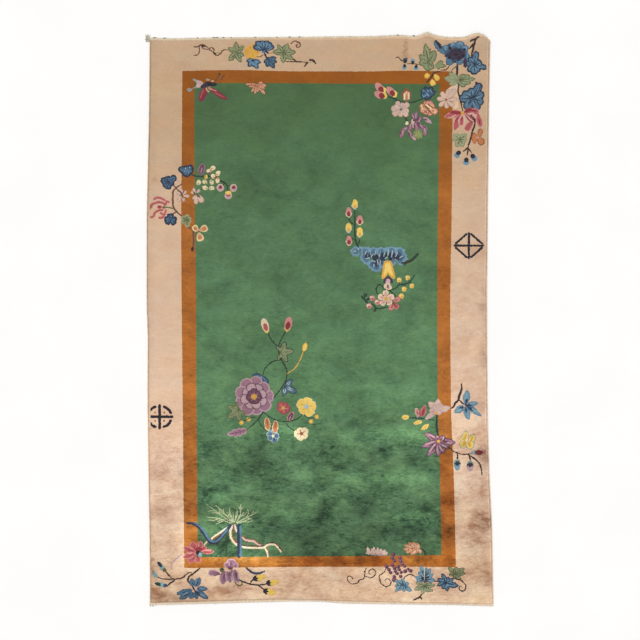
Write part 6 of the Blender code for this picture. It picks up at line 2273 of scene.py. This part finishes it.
def wool_finish():
    """Cut wool: each knot its own shade, painted nap shade in streaks and patches, a soft sheen."""
    n = Nodes("cut_wool")
    knots = n.add("ShaderNodeSeparateColor")
    n.link(n.cells((330, 300, 60)), knots.inputs[0])
    knot = n.ranged(knots.outputs[0], 0, 1, 0.955, 1.045)
    # The nap's light and shade, painted into the colour.
    light = nap(n, n.attribute("worn_nap_shade", "Fac"), n.attribute("lean", "Fac"))
    colour = n.mixed(1.0, n.scaled(n.attribute("yarn"), knot), light, "MULTIPLY")
    # Soil, in the same rubbed patches.
    soil = n.ranged(n.noise((22, 36, 9), 4, 0.68, 0.6), 0.36, 0.62, 0.25, 1.25, True)
    soil = n.math("MULTIPLY", soil, n.attribute("soil", "Fac"))
    colour = n.mixed(soil, colour, n.mixed(1.0, colour, (0.62, 0.45, 0.38, 1), "MULTIPLY"))
    # Batches of dye: a little warmer here, cooler there.
    hue = n.noise((5, 9, 5), 2, 0.5)
    tint = n.mixed(n.ranged(hue, 0.35, 0.65, 0, 1, True), (1.02, 1.0, 0.965, 1), (0.985, 1.0, 1.03, 1))
    colour = n.mixed(1.0, colour, tint, "MULTIPLY")
    tufts = n.cells((330, 300, 60), "Distance")
    normal = n.bump(n.math("SUBTRACT", 1.0, tufts), 0.0011, 0.45)
    normal = n.bump(n.noise((900, 900, 300), 3, 0.6), 0.0009, 0.35, normal)
    normal = n.bump(n.noise((14, 120, 9), 3, 0.6), 0.0016, 0.35, normal)
    rough = n.ranged(n.noise((60, 90, 40), 3, 0.6), 0.2, 0.8, 0.78, 0.96)
    return n.finish(colour, rough, normal, 0.2, 0.22, 0.45)


def cord_finish(name, twist, deep):
    """Yarn laid side by side: each strand's own shade and a fine twist."""
    n = Nodes(name)
    shade = n.ranged(n.noise((260, 260, 260), 3, 0.6), 0.3, 0.7, 0.9, 1.08)
    dust = n.ranged(n.noise((16, 16, 16), 3, 0.6), 0.35, 0.7, 1.03, 0.93, True)
    colour = n.scaled(n.attribute("yarn"), n.math("MULTIPLY", shade, dust))
    normal = n.bump(n.noise(twist, 3, 0.6), deep, 0.6)
    normal = n.bump(n.noise((1400, 1400, 1400), 2, 0.6), 0.0004, 0.4, normal)
    rough = n.ranged(n.noise((90, 90, 90), 2, 0.5), 0.2, 0.8, 0.82, 0.97)
    return n.finish(colour, rough, normal, 0.18, 0.18, 0.5)


def back_finish():
    """The woven back: rows of knot loops, with the cotton wefts and a painted shade in the grooves between them."""
    n = Nodes("woven_back")
    loops = n.add("ShaderNodeSeparateColor")
    n.link(n.cells((310, 290, 0), even=0.25), loops.inputs[0])
    shade = n.ranged(loops.outputs[0], 0, 1, 0.9, 1.08)
    place = n.add("ShaderNodeSeparateXYZ")
    n.link(n.place((1, 290, 1)), place.inputs[0])
    row = n.math("ABSOLUTE", n.math("SUBTRACT", n.math("FRACT", place.outputs[1]), 0.5))
    weft_and_groove_shade = n.ranged(row, 0.34, 0.5, 0.0, 0.45, True)
    dust = n.ranged(n.noise((7, 7, 7), 3, 0.6), 0.3, 0.7, 1.0, 0.9, True)
    # At the row edges the colour turns dark brown: the wefts, and painted shade in the groove.
    colour = n.mixed(weft_and_groove_shade, n.attribute("yarn"), (0.56, 0.47, 0.36, 1))
    colour = n.scaled(colour, n.math("MULTIPLY", shade, dust))
    normal = n.bump(n.math("SUBTRACT", 1.0, n.cells((310, 290, 0), "Distance", 0.25)), 0.0012, 0.8)
    normal = n.bump(n.math("SUBTRACT", 1.0, row), 0.0008, 0.5, normal)
    rough = n.ranged(n.noise((90, 90, 90), 2, 0.5), 0.2, 0.8, 0.84, 0.97)
    return n.finish(colour, rough, normal, 0.15, 0.1, 0.5)


pile = new_piece("pile", wool_pile(), wool_finish())
back = new_piece("foundation_back", woven_back(), back_finish())
web_weave = cord_finish("flat_woven_cotton", (300, 700, 300), 0.0007)
wound_wool = cord_finish("wound_wool", (160, 900, 160), 0.0009)
far_web = new_piece("web_far", end_web("web_far", far, 1, -HALF_WIDE, 737.0, 26.0, FAR_WEB), web_weave)
near_web = new_piece("web_near", end_web("web_near", near, -1, -746.0, HALF_WIDE, 0.0, NEAR_WEB), web_weave)
left_cord = new_piece("cord_left", side_cord("cord_left", "left", -1), wound_wool)
right_cord = new_piece("cord_right", side_cord("cord_right", "right", 1), wound_wool)
ends = new_piece("warp_ends", warp_ends(), web_weave)
dark_marks = new_piece("end_dark_marks", end_dark_marks(), wound_wool)

for piece, slot, nodes in (
    (pile, "wool_pile", ["rug_body"]),
    (back, "wool_pile", []),
    (far_web, "cotton_web", ["end_web_far"]),
    (near_web, "cotton_web", ["end_web_near"]),
    (left_cord, "wool_overcast", ["side_cord_left"]),
    (right_cord, "wool_overcast", ["side_cord_right"]),
    (ends, "cotton_web", []),
    (dark_marks, "wool_overcast", []),
):
    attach(piece, "root")
    if nodes:
        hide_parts(*nodes)


# ---------------------------------------------------------------- floor, light, camera
def studio():
    n = Nodes("pale_floor")
    soft = n.noise((3, 3, 3), 3, 0.5)
    tint = n.mixed(n.ranged(soft, 0.3, 0.7, 0, 1), (0.93, 0.93, 0.93, 1), (0.95, 0.95, 0.945, 1))
    finish = n.finish(tint, n.ranged(soft, 0, 1, 0.8, 0.9), n.bump(soft, 0.0002, 0.1), 0.1)
    mesh = bpy.data.meshes.new("floor")
    half = 14.0
    mesh.from_pydata([(-half, -half, 0), (half, -half, 0), (half, half, 0), (-half, half, 0)], [], [(0, 1, 2, 3)])
    mesh.materials.append(finish)
    floor = bpy.data.objects.new("floor", mesh)
    bpy.context.scene.collection.objects.link(floor)
    world = bpy.data.worlds.new("studio")
    bpy.context.scene.world = world
    world.use_nodes = True
    back = world.node_tree.nodes["Background"]
    back.inputs["Color"].default_value = (1.0, 0.998, 0.995, 1)
    back.inputs["Strength"].default_value = 0.62 * BRIGHT
    sun = bpy.data.lights.new("key", "SUN")
    sun.energy = 1.5 * BRIGHT
    sun.angle = math.radians(35)
    sun.color = (1.0, 0.985, 0.96)
    key = bpy.data.objects.new("key", sun)
    key.rotation_euler = (math.radians(-38), math.radians(-20), 0)
    bpy.context.scene.collection.objects.link(key)
    camera = bpy.data.cameras.new("camera")
    camera.sensor_fit = "HORIZONTAL"
    camera.sensor_width = 36.0
    height = 5.0
    camera.lens = 36.0 * (height - THICK * MM) / (640 * SQUARE * MM)
    camera.clip_end = 60
    seen = bpy.data.objects.new("camera", camera)
    seen.location = ((320 - CHART_X) * SQUARE * MM, (CHART_Y - 320) * SQUARE * MM, height)
    bpy.context.scene.collection.objects.link(seen)
    bpy.context.scene.camera = seen
    bpy.context.scene.view_settings.view_transform = "Standard"


studio()
